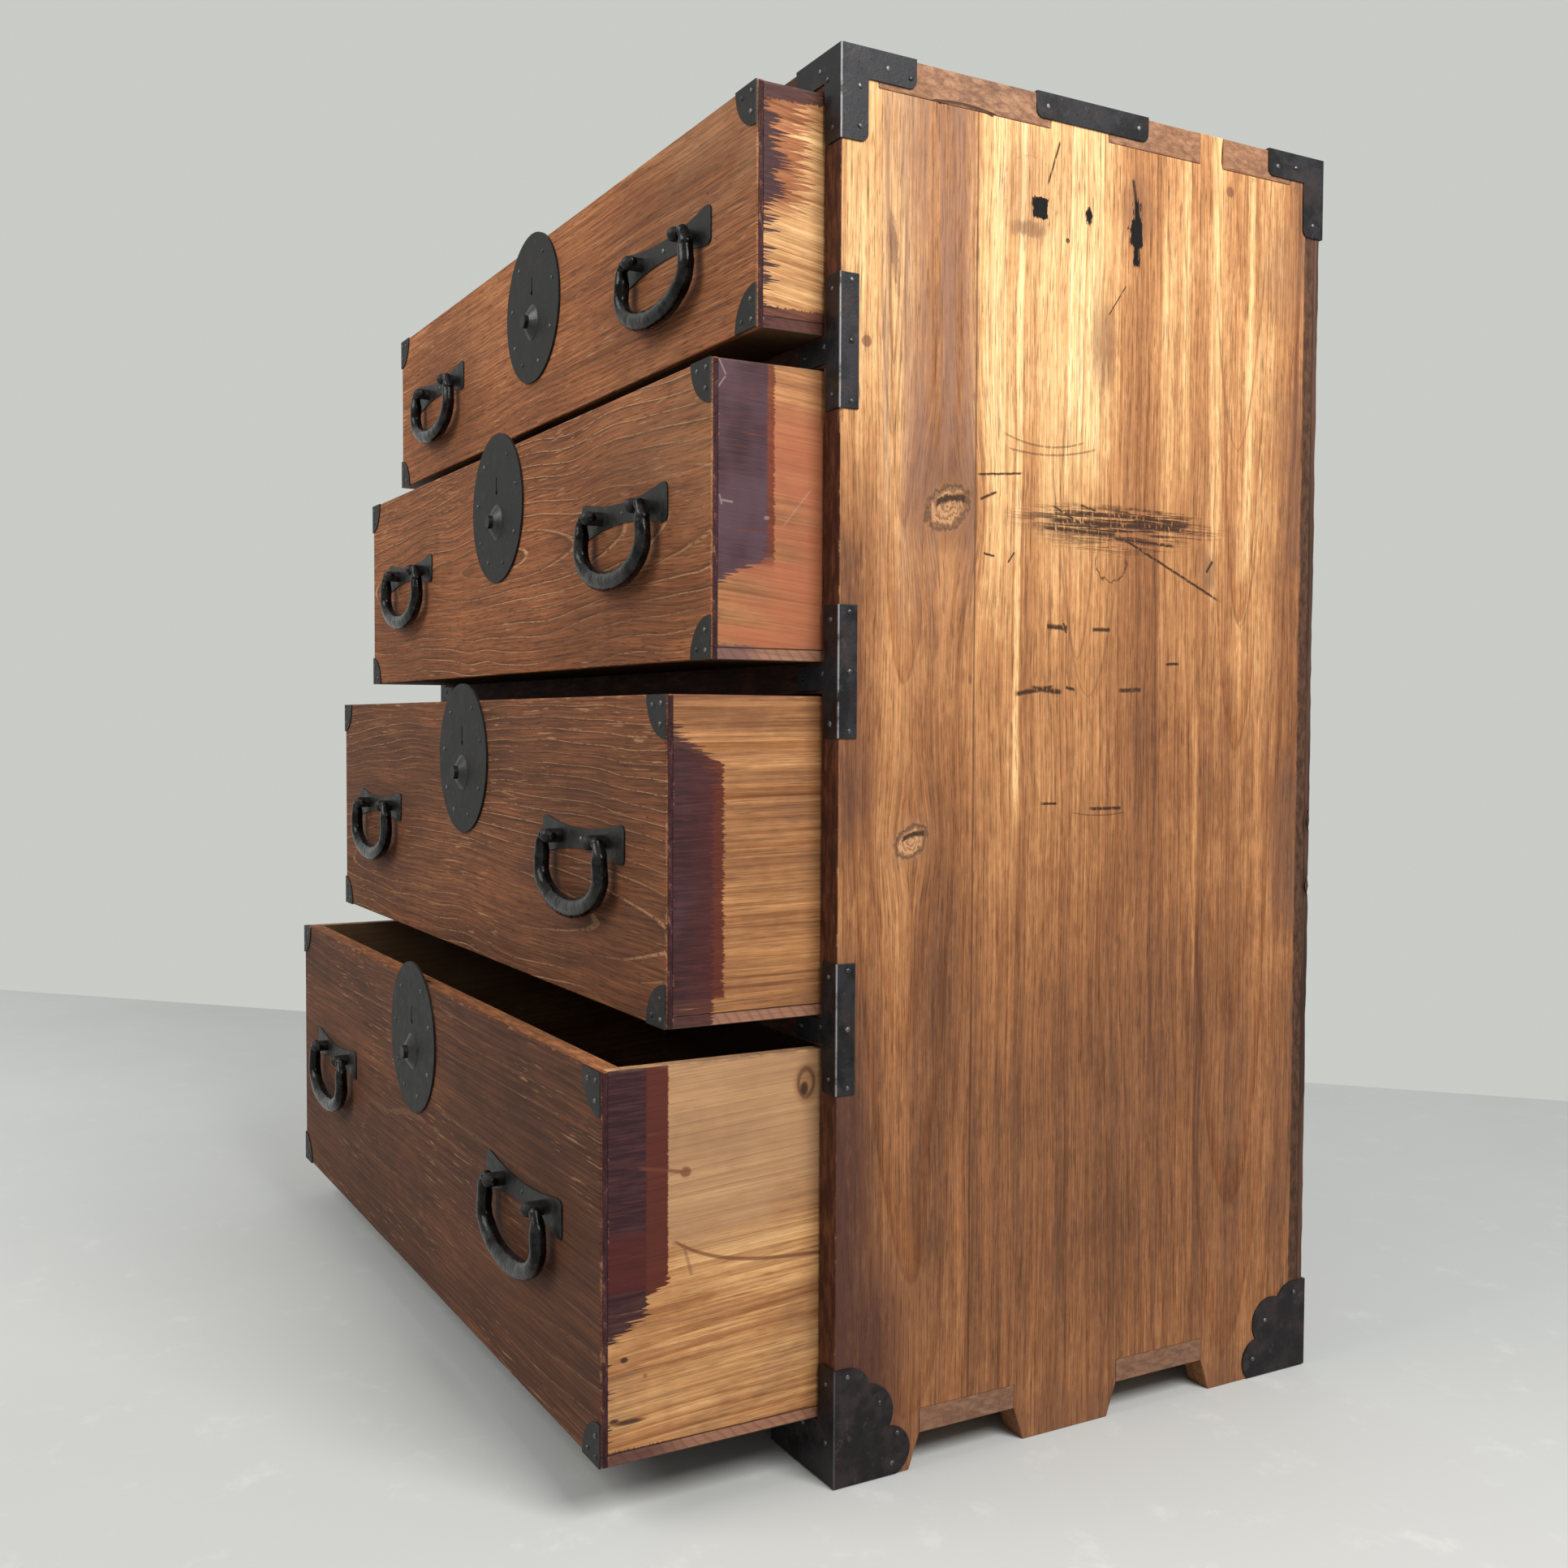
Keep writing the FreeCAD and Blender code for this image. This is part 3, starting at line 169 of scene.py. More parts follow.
class Net(Tree):
    """One material: its tree, its palette and base, the colour laid on it so far.

    A colour is three numbers, a wire or a name in the palette or in MARKS, and a place is a
    wire or a tuple of its three parts.
    """

    def __init__(self, name, palette=None):
        self.material = bpy.data.materials.new(name)
        self.material.use_nodes = True
        super().__init__(self.material.node_tree)
        self.palette = MARKS | (palette or {})
        self.base = None
        self.place = self.node("ShaderNodeTexCoord", output="Object")
        self.x = self.node("ShaderNodeSeparateXYZ", inputs=[self.place])
        self.y, self.z = self.x.beside("Y"), self.x.beside("Z")

    def colour(self, value):
        return self.palette[value] if isinstance(value, str) else value

    def join(self, spot):
        """A place as one vector."""
        if isinstance(spot, tuple):
            return self.node("ShaderNodeCombineXYZ", inputs=spot)
        return spot

    def ramp(self, value, *stops):
        stops = [(position, self.colour(colour)) for position, colour in stops]
        return self.node("ShaderNodeValToRGB", {"stops": stops}, [value])

    def mix(self, factor, first, second, kind="MIX"):
        settings = {"data_type": "RGBA", "blend_type": kind, "clamp_factor": True}
        inputs = {0: factor, 6: self.colour(first), 7: self.colour(second)}
        return self.node("ShaderNodeMix", settings, inputs, output=2)

    def lay(self, amount, colour, kind="MIX"):
        """Lays a colour over the base."""
        self.base = self.mix(amount, self.base, colour, kind)

    def noise(self, spot, detail=2, roughness=0.5, scale=1):
        inputs = {"Vector": self.join(spot), "Scale": scale}
        inputs |= {"Detail": detail, "Roughness": roughness}
        return self.node("ShaderNodeTexNoise", inputs=inputs)

    def cells(self, spot, scale=1):
        """Distance to the nearest of many scattered points."""
        return self.node("ShaderNodeTexVoronoi", inputs={"Vector": self.join(spot), "Scale": scale})

    def chance(self, value):
        return self.node("ShaderNodeTexWhiteNoise", {"noise_dimensions": "1D"}, {"W": value})

    def finish(self, roughness, relief=None, depth=0, specular=0.5, metallic=0):
        """Ends the material; relief, from 0 to 1, stands depth high."""
        inputs = {
            "Base Color": self.base,
            "Roughness": roughness,
            "Metallic": metallic,
            "Specular IOR Level": specular,
        }
        if relief:
            bump = {"Height": relief, "Distance": depth, "Strength": 1}
            inputs["Normal"] = self.node("ShaderNodeBump", inputs=bump)
        surface = self.node("ShaderNodeBsdfPrincipled", inputs=inputs)
        self.node("ShaderNodeOutputMaterial", inputs=[surface])
        return self.material

    # marks that sit at a known place on a face, in its own two coordinates

    def spot(self, across, up, centre, radii, soft):
        """An oval mark: 1 inside, fading out over soft of its radius."""
        a = across.times_plus(1 / radii[0], -centre[0] / radii[0])
        b = up.times_plus(1 / radii[1], -centre[1] / radii[1])
        return b.times_plus(b, a * a).rise((1 + soft) ** 2, (1 - soft) ** 2)

    def spots(self, across, up, rows):
        """Several oval marks: centre, radii, softness and strength of each."""
        total = 0
        for centre, radii, soft, strength in rows:
            mark = self.spot(across, up, centre, radii, soft) * strength
            total = mark.most(total)
        return total

    def stroke(self, across, up, start, end, width):
        """A straight scratch that fades out at both ends."""
        run = (end[0] - start[0], end[1] - start[1])
        middle = ((start[0] + end[0]) / 2, (start[1] + end[1]) / 2)
        length = math.hypot(*run)
        # along runs from -1 to 1, off from 0 on the line to 1 at its edge
        ways = []
        for step, reach in ((run, length / 2), ((-run[1], run[0]), width)):
            a, b = (part / length / reach for part in step)
            partial = up.times_plus(b, -middle[0] * a - middle[1] * b)
            ways.append(abs(across.times_plus(a, partial)))
        along, off = ways
        return off.rise(1, 0.2) * along.rise(1, 0.80)

    def strokes(self, across, up, rows):
        """Several scratches in mm: both ends, the width and, if below 1, the strength."""
        total = 0
        for x1, y1, x2, y2, width, *strength in rows:
            start, end = (x1 * MM, y1 * MM), (x2 * MM, y2 * MM)
            mark = self.stroke(across, up, start, end, width * MM)
            total = (mark * strength[0] if strength else mark).most(total)
        return total


# ---------------------------------------------------------------- wood


# colours of small marks, which no setting changes
MARKS = {
    "pore": (0.07, 0.03, 0.015),
    "knot_pale": (0.50, 0.27, 0.13),
    "knot_dark": (0.22, 0.10, 0.045),
    "knot_shade": (0.25, 0.12, 0.06),
    "knot_rim": (0.070, 0.030, 0.016),
    "knot_split": (0.030, 0.014, 0.008),
    "ring_line": (0.15, 0.060, 0.028),
    "loop_line": (0.22, 0.095, 0.040),
    "seam": (0.09, 0.04, 0.02),
    "nick": (0.13, 0.06, 0.03),
    "smudge": (0.20, 0.095, 0.05),
    "bark": (0.15, 0.075, 0.045),
    "scar": (0.035, 0.016, 0.010),
    "plug": (0.18, 0.075, 0.035),
    "hole": (0.004, 0.003, 0.002),
    "crack": (0.06, 0.024, 0.012),
    "fleck": (0.035, 0.014, 0.008),
    "red_mark": (0.10, 0.022, 0.012),
    "gap": (0.03, 0.014, 0.01),
    "scratch": (0.50, 0.36, 0.30),
    "pin_hole": (0.10, 0.045, 0.022),
    "hollow": (0.03, 0.015, 0.01),
    "rust": (0.075, 0.036, 0.024),
    "pit": (0.005, 0.004, 0.004),
    "rubbed_fold": (0.30, 0.30, 0.31),
}


class Grain:
    """How one board is cut: where the tree's heart lies and how wide its rings are.

    lean is how far the heart runs into the board along its length; it makes the rings meet
    in pointed loops on the face.
    """

    def __init__(self, heart, ring, warp=0.012, seed=0.0, lean=0.0):
        self.heart, self.ring, self.warp, self.seed, self.lean = heart, ring, warp, seed, lean


def grain_lines(net, along, across, depth, grain):
    """Growth rings, fibres and slow tone changes of a board, each as a value from 0 to 1."""
    seed = grain.seed
    slow = net.noise((along * 1.6 + seed, across * 5, depth * 5 + seed))
    wave = net.noise((along * 9 + seed, across * 30, depth * 30))
    shift = (slow - 0.5) * grain.warp * 2 + (wave - 0.5) * grain.warp * 0.16
    a = across - grain.heart[0] + shift
    b = depth - grain.heart[1] - along * grain.lean + shift * 0.6
    rings = (a * a + b * b).root() / grain.ring
    phase = rings.fract()
    strength = net.chance(rings.floor() + seed) * 0.8 + 0.2
    return {
        "phase": phase,
        "strength": strength,
        "late": phase.rise(0.50, 0.95) * phase.rise(1.0, 0.97) * strength,
        "fibre": net.noise((along * 9, across * 620, depth * 620 + seed), 3, 0.7),
        "streak": net.noise((along * 2.2 + seed, across * 95, depth * 95), 3, 0.6),
        "tone": net.noise((along * 2.5 + seed * 3, across * 11, depth * 11), 3, 0.55),
        "pore": net.noise((along * 45, across * 1100, depth * 1100), 1).rise(0.60, 0.70),
    }


def wood_colour(net, lines, pale, mid, dark):
    """Colour of a board from its grain: pale between the rings, dark along them."""
    body = net.mix(lines["tone"].rise(0.38, 0.62), pale, mid)
    body = net.mix(lines["streak"].rise(0.46, 0.70) * 0.6, body, dark)
    return fibres(net, net.mix(lines["late"] * 0.55, body, dark), lines, 0.5)


def fibres(net, colour, lines, pores):
    """Lays fibre and pore marks over a wood colour."""
    light = net.mix(lines["fibre"].rise(0.30, 0.70), (0.70, 0.66, 0.62), (1.18, 1.20, 1.20))
    colour = net.mix(1, colour, light, "MULTIPLY")
    return net.mix(lines["pore"] * pores, colour, "pore")


# scratches in millimetres from the chest's middle and the floor: two ends and a width
SIDE_STROKES = (
    (-41, 969, -53, 933, 1.2), (-115, 718, -72, 722, 1.2), (-54, 690, 92, 690, 3.4),
    (-58, 684, 20, 682, 2.6), (-30, 696, 60, 697, 2.0), (10, 680, 78, 677, 2.0),
    (-10, 688, 96, 694, 3.0), (-46, 701, -12, 686, 1.2), (-20, 703, -2, 699, 1.4),
    (14, 684, 127, 635, 1.5), (-50, 611, -29, 610, 3.0), (-34, 614, -31, 606, 1.6),
    (-6, 610, 12, 610, 2.2), (-79, 560, -42, 566, 2.6), (-64, 565, -34, 562, 2.8),
    (-31, 566, -22, 564, 1.8), (20, 564, 44, 565, 2.4), (68, 585, 82, 586, 1.6),
    (-54, 479, -37, 479, 1.4), (-8, 474, 26, 474, 1.8), (29, 953, 34, 925, 2.0),
    (-96, 707, -112, 700, 1.4), (-152, 974, -127, 981, 1.0), (-127, 981, -101, 974, 1.4),
    (24, 872, 6, 846, 0.6), (116, 668, 109, 658, 1.6), (-98, 660, -108, 662, 1.2),
    (-80, 664, -86, 656, 0.9),
)

# shallow curved scratches: lowest point, how fast it rises (1/mm), its two ends, width
SIDE_CURVES = (
    ((-52, 743), 0.0046, (-92, -14), 0.9),
    ((-58, 737), 0.0028, (-88, -2), 0.9),
    ((5, 469), 0.0030, (-25, 30), 0.5),
)

# the planks' tone down their length, in millimetres: middle, half width, lowest and highest
# point, and how much paler (or, if negative, darker) the wood is there
SIDE_BANDS = (
    (-223, 13, 60, 320, -0.26), (-216, 15, 480, 690, -0.17), (-141, 25, 690, 1010, -0.25),
    (-141, 22, 330, 700, -0.13), (-176, 9, 180, 420, 0.10), (-188, 12, 700, 1000, 0.05),
    (-100, 12, 640, 960, 0.12), (-76, 2.6, 500, 1010, 0.34), (-57, 15, 740, 1010, 0.14),
    (-30, 2.2, 740, 980, 0.26), (-12, 20, 770, 990, 0.15), (40, 17, 540, 990, -0.17),
    (56, 3, 280, 640, -0.16), (66, 6, 700, 985, 0.11), (85, 3, 760, 985, 0.22),
    (117, 6, 640, 1000, 0.28), (153, 3.5, 700, 950, 0.22), (146, 5, 480, 690, 0.16),
    (100, 2.4, 330, 500, 0.24), (101, 2.4, 100, 230, 0.18), (200, 12, 420, 980, -0.13),
)

# loops of grain: middle and tip, half width 100 mm above it
SIDE_LOOPS = (
    (141, 758, 22), (147, 618, 20), (-20, 588, 15), (-9, 560, 27), (-187, 740, 9),
    (-186, 790, 5),
)

# centre across and up, radius, how far the grain is pushed aside
KNOTS = ((-0.1400, 0.6925, 0.0180, 0.80), (-0.1690, 0.4546, 0.0130, 0.75))

# smudges and bark on the side: centre, radii, softness, strength
SMUDGES = (
    ((-0.0680, 0.9260), (0.0220, 0.0300), 0.7, 0.30),
    ((-0.0700, 0.9000), (0.0140, 0.0055), 0.6, 0.75),
    ((0.0020, 0.8230), (0.0090, 0.0250), 0.8, 0.60),
    ((0.0330, 0.9300), (0.0140, 0.0200), 0.6, 0.45),
    ((0.1120, 0.6600), (0.0060, 0.0130), 0.6, 0.65),
    ((0.1900, 0.9000), (0.0180, 0.0300), 0.8, 0.40),
    ((-0.0100, 0.6880), (0.0720, 0.0140), 0.5, 0.18),
)
BARK = (
    ((-0.1872, 0.8700), (0.0034, 0.0200), 0.4, 1),
    ((-0.1860, 0.8480), (0.0018, 0.0140), 0.5, 0.6),
)
SCORED = (
    ((0.0200, 0.6905), (0.0800, 0.0105), 0.5, 1),
    ((0.0150, 0.6800), (0.0520, 0.0100), 0.6, 0.6),
    ((0.0450, 0.6960), (0.0500, 0.0060), 0.5, 1),
)
PLUGS = (
    ((-0.2087, 0.802), (0.0040, 0.0040), 0.2, 1),
    ((0.1290, 0.9590), (0.0040, 0.0040), 0.2, 1),
)


def bend_round_knots(y, z):
    """The across coordinate, swung aside so that the grain passes round the knots."""
    bent = y
    for across, up, radius, push in KNOTS:
        a = (y - across) / (radius * 1.6)
        b = (z - up) / (radius * 3.2)
        bent = bent - (y - across) * ((a * a + b * b) * -1).exponent() * push
    return bent


def draw_knot(net, y, z, knot, rough):
    """A healed branch with rings, a dark rim and an open split; gives back its depth."""
    across, up, radius, _ = knot
    a = (y - across) / radius
    b = (z - up) / (radius * 0.82) - a * 0.35
    reach = (a * a + b * b).root() + rough * 0.95
    wood = net.mix((reach * 3.4).fract().rise(0.15, 0.95), "knot_pale", "knot_dark")
    rim = abs(reach - 0.98).rise(0.20, 0.0)
    lid = abs(b - 0.42 + a * a * 0.35 + rough * 0.4).rise(0.26, 0.08)
    split = lid * abs(a - 0.15).rise(0.85, 0.6)
    net.lay(reach.rise(2.2, 1.1) * 0.35, "knot_shade")
    net.lay(reach.rise(1.3, 0.9) * 0.85, wood)
    net.lay(rim * 0.85, "knot_rim")
    net.lay(split * 0.92, "knot_split")
    return rim * 0.6 + split * 1.6


def banded(across, up):
    """Sum of the soft bands of paler and darker wood at a point."""
    total = 0
    for middle, half, low, high, amount in SIDE_BANDS:
        off = abs(across.times_plus(1 / (half * MM), -middle / half))
        band = off.rise(1.6, 0.3) * up.span(low * MM, high * MM, 0.06)
        total = band.times_plus(amount, total)
    return total


def looped(across, up):
    """Thin lines that close in a loop at their lower ends."""
    total = 0
    for middle, tip, half in SIDE_LOOPS:
        spread = ((up - tip * MM) * 10).most(0).root() * (half * MM)
        off = abs(abs(across - middle * MM) - spread)
        line = off.rise(0.0015, 0.0003) * up.rise((tip + 260) * MM, (tip + 60) * MM)
        total = line * up.rise((tip - 3) * MM, tip * MM) + total
    return total


def side_wood(name, colours, marked=True, seed=0.0):
    """Side board: two glued planks with two knots, paler above and darker below, partly bleached
    wood and partly painted light falling from above.
    """
    net = Net(name, colours)
    x, y, z = net.x, net.y, net.z
    seam = -0.1155
    second = y.rise(seam - 0.0002, seam + 0.0002)
    bent = bend_round_knots(y, z) + (net.noise((z * 5, y * 6, seed), 1) - 0.5) * 0.007
    heart = (second * 0.312 - 0.172, CASE_SIDE - 0.0735)
    lines = grain_lines(net, z, bent, abs(x), Grain(heart, 0.0088, 0.022, seed, 0.07))
    wide = net.noise((z * 0.9 + seed, bent * 26, seed + 2))
    thin = net.noise((z * 2.6, bent * 120 + seed, 4.2), 3, 0.62)
    cloud = net.noise((z * 11, y * 17, seed + 9), 4, 0.62)
    mottle = net.noise((z * 90, y * 210, seed + 5), 3, 0.65)
    # paler towards the top, darker towards the rear and the bottom: partly the wood's own tone,
    # partly painted light from above
    level = z.rise(0.10, 0.95) * 0.53 + 0.13 - y.rise(-0.03, 0.06) * z.rise(0.25, 0.55) * 0.12
    level = level - abs(z - 0.28).rise(0.16, 0.0) * 0.08 + z.rise(0.16, 0.02) * 0.06
    level = level + (wide - 0.5) * 0.60 + (thin - 0.5) * 0.44 + (cloud - 0.5) * 0.46
    level = level + (mottle - 0.5) * 0.34
    if marked:
        level = level + banded(bent + (cloud - 0.5) * 0.003, z + (wide - 0.5) * 0.2)
    tones = ("side_dark", "side_shade", "side_brown", "side_gold", "side_light")
    net.base = net.ramp(level, *zip((0, 0.25, 0.50, 0.74, 1), tones))
    net.lay(1, net.mix(lines["late"], (1, 1, 1), (0.80, 0.70, 0.60)), "MULTIPLY")
    vessels = net.noise((z * 34, bent * 460, seed + 3), 2, 0.6).rise(0.57, 0.70)
    net.lay(vessels * 0.38, "side_dark")
    # a thin dark line where a ring closes, broken along its length
    gaps = net.noise((z * 12, bent * 160, seed + 7)).rise(0.40, 0.60)
    closing = abs(lines["phase"] - 0.965).rise(0.055, 0.010) * lines["strength"].rise(0.45, 0.9)
    net.lay(closing * gaps * 0.46, "ring_line")
    if marked:
        net.lay(looped(bent, z) * 0.55, "loop_line")
    net.base = fibres(net, net.base, lines, 0.50)
    # grey-violet bloom in the front plank, smoke, handling dirt and a cloudy darkening towards the
    # bottom
    grime = net.noise((z * 7 + 1.7, y * 14, seed), 4, 0.65)
    bloom = y.span(-0.190, -0.120, 0.012) * z.rise(0.52, 0.78) * (1 - second)
    bloom = bloom * net.noise((z * 5, y * 110 + seed, 3.3), 4, 0.7).rise(0.34, 0.60)
    net.lay(bloom * 0.62, "bloom")
    low_corner = y.rise(-0.194, -0.220) * z.rise(0.36, 0.24)
    low_corner = low_corner.most(y.rise(-0.155, -0.198) * z.rise(0.20, 0.11))
    low_corner = low_corner * (thin * 0.5 + mottle * 0.5).rise(0.25, 0.55)
    red_corner = y.rise(-0.190, -0.222) * z.span(0.46, 0.70, 0.05) * grime.rise(0.34, 0.60) * 0.6
    front_grime = y.rise(CASE_FRONT + 0.030, CASE_FRONT) * grime.rise(0.40, 0.7) * 0.45
    rear_grime = y.rise(0.165, 0.212) * grime.rise(0.40, 0.60) * 0.50
    lower = z.rise(0.50, 0.10) * cloud.rise(0.46, 0.62) * 0.14
    net.lay(front_grime.most(z.rise(0.060, 0.0) * 0.30).most(rear_grime).most(lower), "grime")
    net.lay(low_corner.most(red_corner) * 0.90, "smoke")
    # the rear edge, split off along a line and smoked dark
    ragged = net.noise((0.0, y * 60, z * 55), 4, 0.7) - 0.5
    rear = (y + ragged * 0.0050).rise(0.2115, 0.2135)
    net.lay(rear * 0.95, net.mix(mottle.rise(0.35, 0.65), "back_mid", "back_pale"))
    # the glued seam
    wander = net.noise((z * 6, 0.5, seed)) - 0.5
    seam_line = abs(y - seam + wander * 0.0008).rise(0.0011, 0.0002)
    net.lay(seam_line * 0.7, "seam")
    rough = net.noise((y * 260, z * 120, seed), 3, 0.6) - 0.5
    dent = seam_line * 0.8 + rear * 0.5
    for knot in KNOTS:
        dent = dent + draw_knot(net, y, z, knot, rough)
    nick_spot = net.join((y * 60, z * 25, seed))
    nicks = net.cells(nick_spot).rise(0.12, 0.05) * net.noise(nick_spot, scale=0.6).rise(0.54, 0.64)
    net.lay(nicks * 0.6, "nick")
    dent = dent + nicks * 0.8
    if marked:
        dent = dent + side_marks(net, y, z, rough)
    # the front edge carries the old red-brown lacquer; the inside is bare wood, painted dark as the
    # shade inside the carcass
    front = y.rise(CASE_FRONT + 0.0009, CASE_FRONT + 0.0003)
    rub = net.noise((x * 160, y * 60, z * 40), 4, 0.7)
    net.lay(front, net.mix(rub.rise(0.42, 0.68), "stile", "stile_worn"))
    corner = (y - CASE_FRONT).rise(0.0018, 0.0) * (CASE_SIDE - abs(x)).rise(0.0018, 0.0)
    net.lay(corner * net.noise((1.0, y * 30, z * 45), 4, 0.7).rise(0.54, 0.64) * 0.7, "side_brown")
    inner = abs(x).rise(CASE_SIDE - 0.0215, CASE_SIDE - 0.0225) * (1 - front)
    net.lay(inner * 0.85, "inside")
    relief = lines["fibre"] * 0.50 - lines["late"] * 0.30 - lines["pore"] * 0.4 - dent
    relief = relief + mottle * 0.25 - vessels * 0.35
    sheen = 0.54 + lines["fibre"] * 0.14 + grime * 0.12 - front * 0.12
    return net.finish(sheen, relief, depth=0.5 * MM, specular=0.15)


def side_marks(net, y, z, rough):
    """Old nail holes, burns and scratches in the upper half of the right side."""
    wavy_y = y + rough * 0.008
    wavy_z = z + rough * 0.010
    # smudges round the nail holes
    halo = net.spots(wavy_y, wavy_z, SMUDGES)
    ring = abs(((wavy_y + 0.067) ** 2 + (wavy_z - 0.927) ** 2).root() - 0.026)
    halo = halo.most(ring.rise(0.0022, 0.0004) * rough.rise(-0.10, 0.10) * 0.5)
    net.lay(halo, "smudge")
    bark = net.spots(wavy_y + (z - 0.870) * 0.10, wavy_z, BARK)
    net.lay(bark * 0.72, "bark")
    # the scored patch: many short level cuts side by side
    score = net.noise((y * 28, z * 560, 7.7), 2, 0.6).rise(0.46, 0.55)
    scars = score * net.spots(wavy_y, wavy_z, SCORED)
    for (middle, low), bend, ends, width in SIDE_CURVES:
        off = abs(z - low * MM - (y - middle * MM) ** 2 * (bend / MM) + rough * 0.0010)
        run = y.span((ends[0] + 5) * MM, (ends[1] - 5) * MM, 0.005)
        scars = scars.most(off.rise(width * 1.3 * MM, width * 0.3 * MM) * run * 0.5)
    loop = abs(((wavy_y - 0.012) ** 2 + (wavy_z - 0.6620) ** 2).root() - 0.0150)
    scars = scars.most(loop.rise(0.0011, 0.0002) * z.rise(0.672, 0.660) * 0.7)
    scars = scars.most(net.strokes(y + rough * 0.0016, z + rough * 0.0016, SIDE_STROKES))
    scars = scars * net.noise((y * 420, z * 160, 1.0)).rise(0.30, 0.46)
    net.lay(scars * 0.95, "scar")
    net.lay(net.spots(y, z, PLUGS) * 0.8, "plug")
    # two nail holes torn open, small ones between them, their near-black a painted shade of their
    # depth
    near = abs(wavy_y + 0.0595).most(abs(wavy_z - 0.9165) * 0.95)
    tear = net.noise((y * 800, z * 42, 2.0)) - 0.5
    half = z.span(0.9045, 0.9200, 0.005) * 0.0034 + z.span(0.8920, 0.9320, 0.008) * 0.0032
    torn = (half - abs(wavy_y - 0.0335) + tear * 0.010).rise(0.0, 0.0007)
    holes = near.rise(0.0074, 0.0064).most(torn * z.span(0.8880, 0.9360, 0.004))
    holes = holes.most(net.spot(wavy_y, wavy_z, (-0.0135, 0.9175), (0.0026, 0.0062), 0.2))
    holes = holes.most(net.spot(y, z, (-0.0335, 0.8965), (0.0016, 0.0016), 0.3) * 0.8)
    net.lay(holes, "hole")
    return scars * 1.4 + holes * 3


def plain_wood(name, colours, axes, tones, grain, lacquered=False, fingers=False):
    """A plain board; axes are the ones along its grain, across its face and into it."""
    net = Net(name, colours)
    x, y, z = net.x, net.y, net.z
    lines = grain_lines(net, *(getattr(net, letter) for letter in axes), grain)
    net.base = wood_colour(net, lines, *tones)
    grime = net.noise((x * 6, y * 6, z * 6 + grain.seed), 4, 0.65)
    net.lay(grime.rise(0.5, 0.75) * 0.45, "grime")
    relief = lines["fibre"] * 0.45 - lines["late"] * 0.3 - lines["pore"] * 0.4
    if fingers:
        # the fingers' end grain shows darker and redder on the side faces
        end_face = abs(x).rise(CASE_SIDE - 0.0010, CASE_SIDE - 0.0004)
        speck = net.noise((x, y * 120, z * 260), 4, 0.62)
        arcs = ((z + y * 0.38) * 130 + grime * 5).fract()
        tint = net.mix(speck.rise(0.3, 0.7), "end_dark", "end_pale")
        tint = net.mix(arcs.rise(0.55, 0.95) * 0.45, tint, "end_dark")
        tint = net.mix(grime.rise(0.45, 0.62) * 0.30, tint, "side_shade")
        tint = net.mix(z.rise(0.10, 0.05) * 0.55, tint, "grime")
        # a long bark-edged crack in the front finger
        reach = (y + 0.128) / 0.030
        crack = abs(z - 0.9765 + reach * reach * 0.0030 - speck * 0.002).rise(0.0016, 0.0004)
        crack = crack * abs(reach).rise(1.05, 0.8)
        net.lay(end_face, net.mix(crack * 0.85, tint, "crack"))
        relief = relief - crack * end_face * 2
    if lacquered:
        rub = net.noise((x * 30, y * 60, z * 160), 4, 0.7)
        lacquer = net.mix(rub.rise(0.42, 0.70), "stile", "stile_worn")
        net.lay(y.rise(CASE_FRONT + 0.0009, CASE_FRONT + 0.0003), lacquer)
    sheen = 0.60 + lines["fibre"] * 0.14 + grime * 0.08
    return net.finish(sheen, relief, depth=0.4 * MM, specular=0.22)


# per drawer: how the front is cut (the heart's height over the drawer's bottom and depth),
# how strongly the raised grain shows, how dark the stain is, how much pale painted sheen lies on
# its right end
FRONTS = {
    1: (Grain((0.420, 0.10), 0.0095, 0.022, 1.3), 0.34, -0.04, 0.34),
    2: (Grain((0.102, 0.0), 0.0104, 0.030, 4.1, 0.10), 1.00, 0.17, 0.20),
    3: (Grain((0.060, 0.004), 0.0090, 0.030, 7.7, 0.07), 0.72, 0.54, 0),
    4: (Grain((0.150, 0.030), 0.0165, 0.044, 12.2), 0.15, 0.86, 0),
}


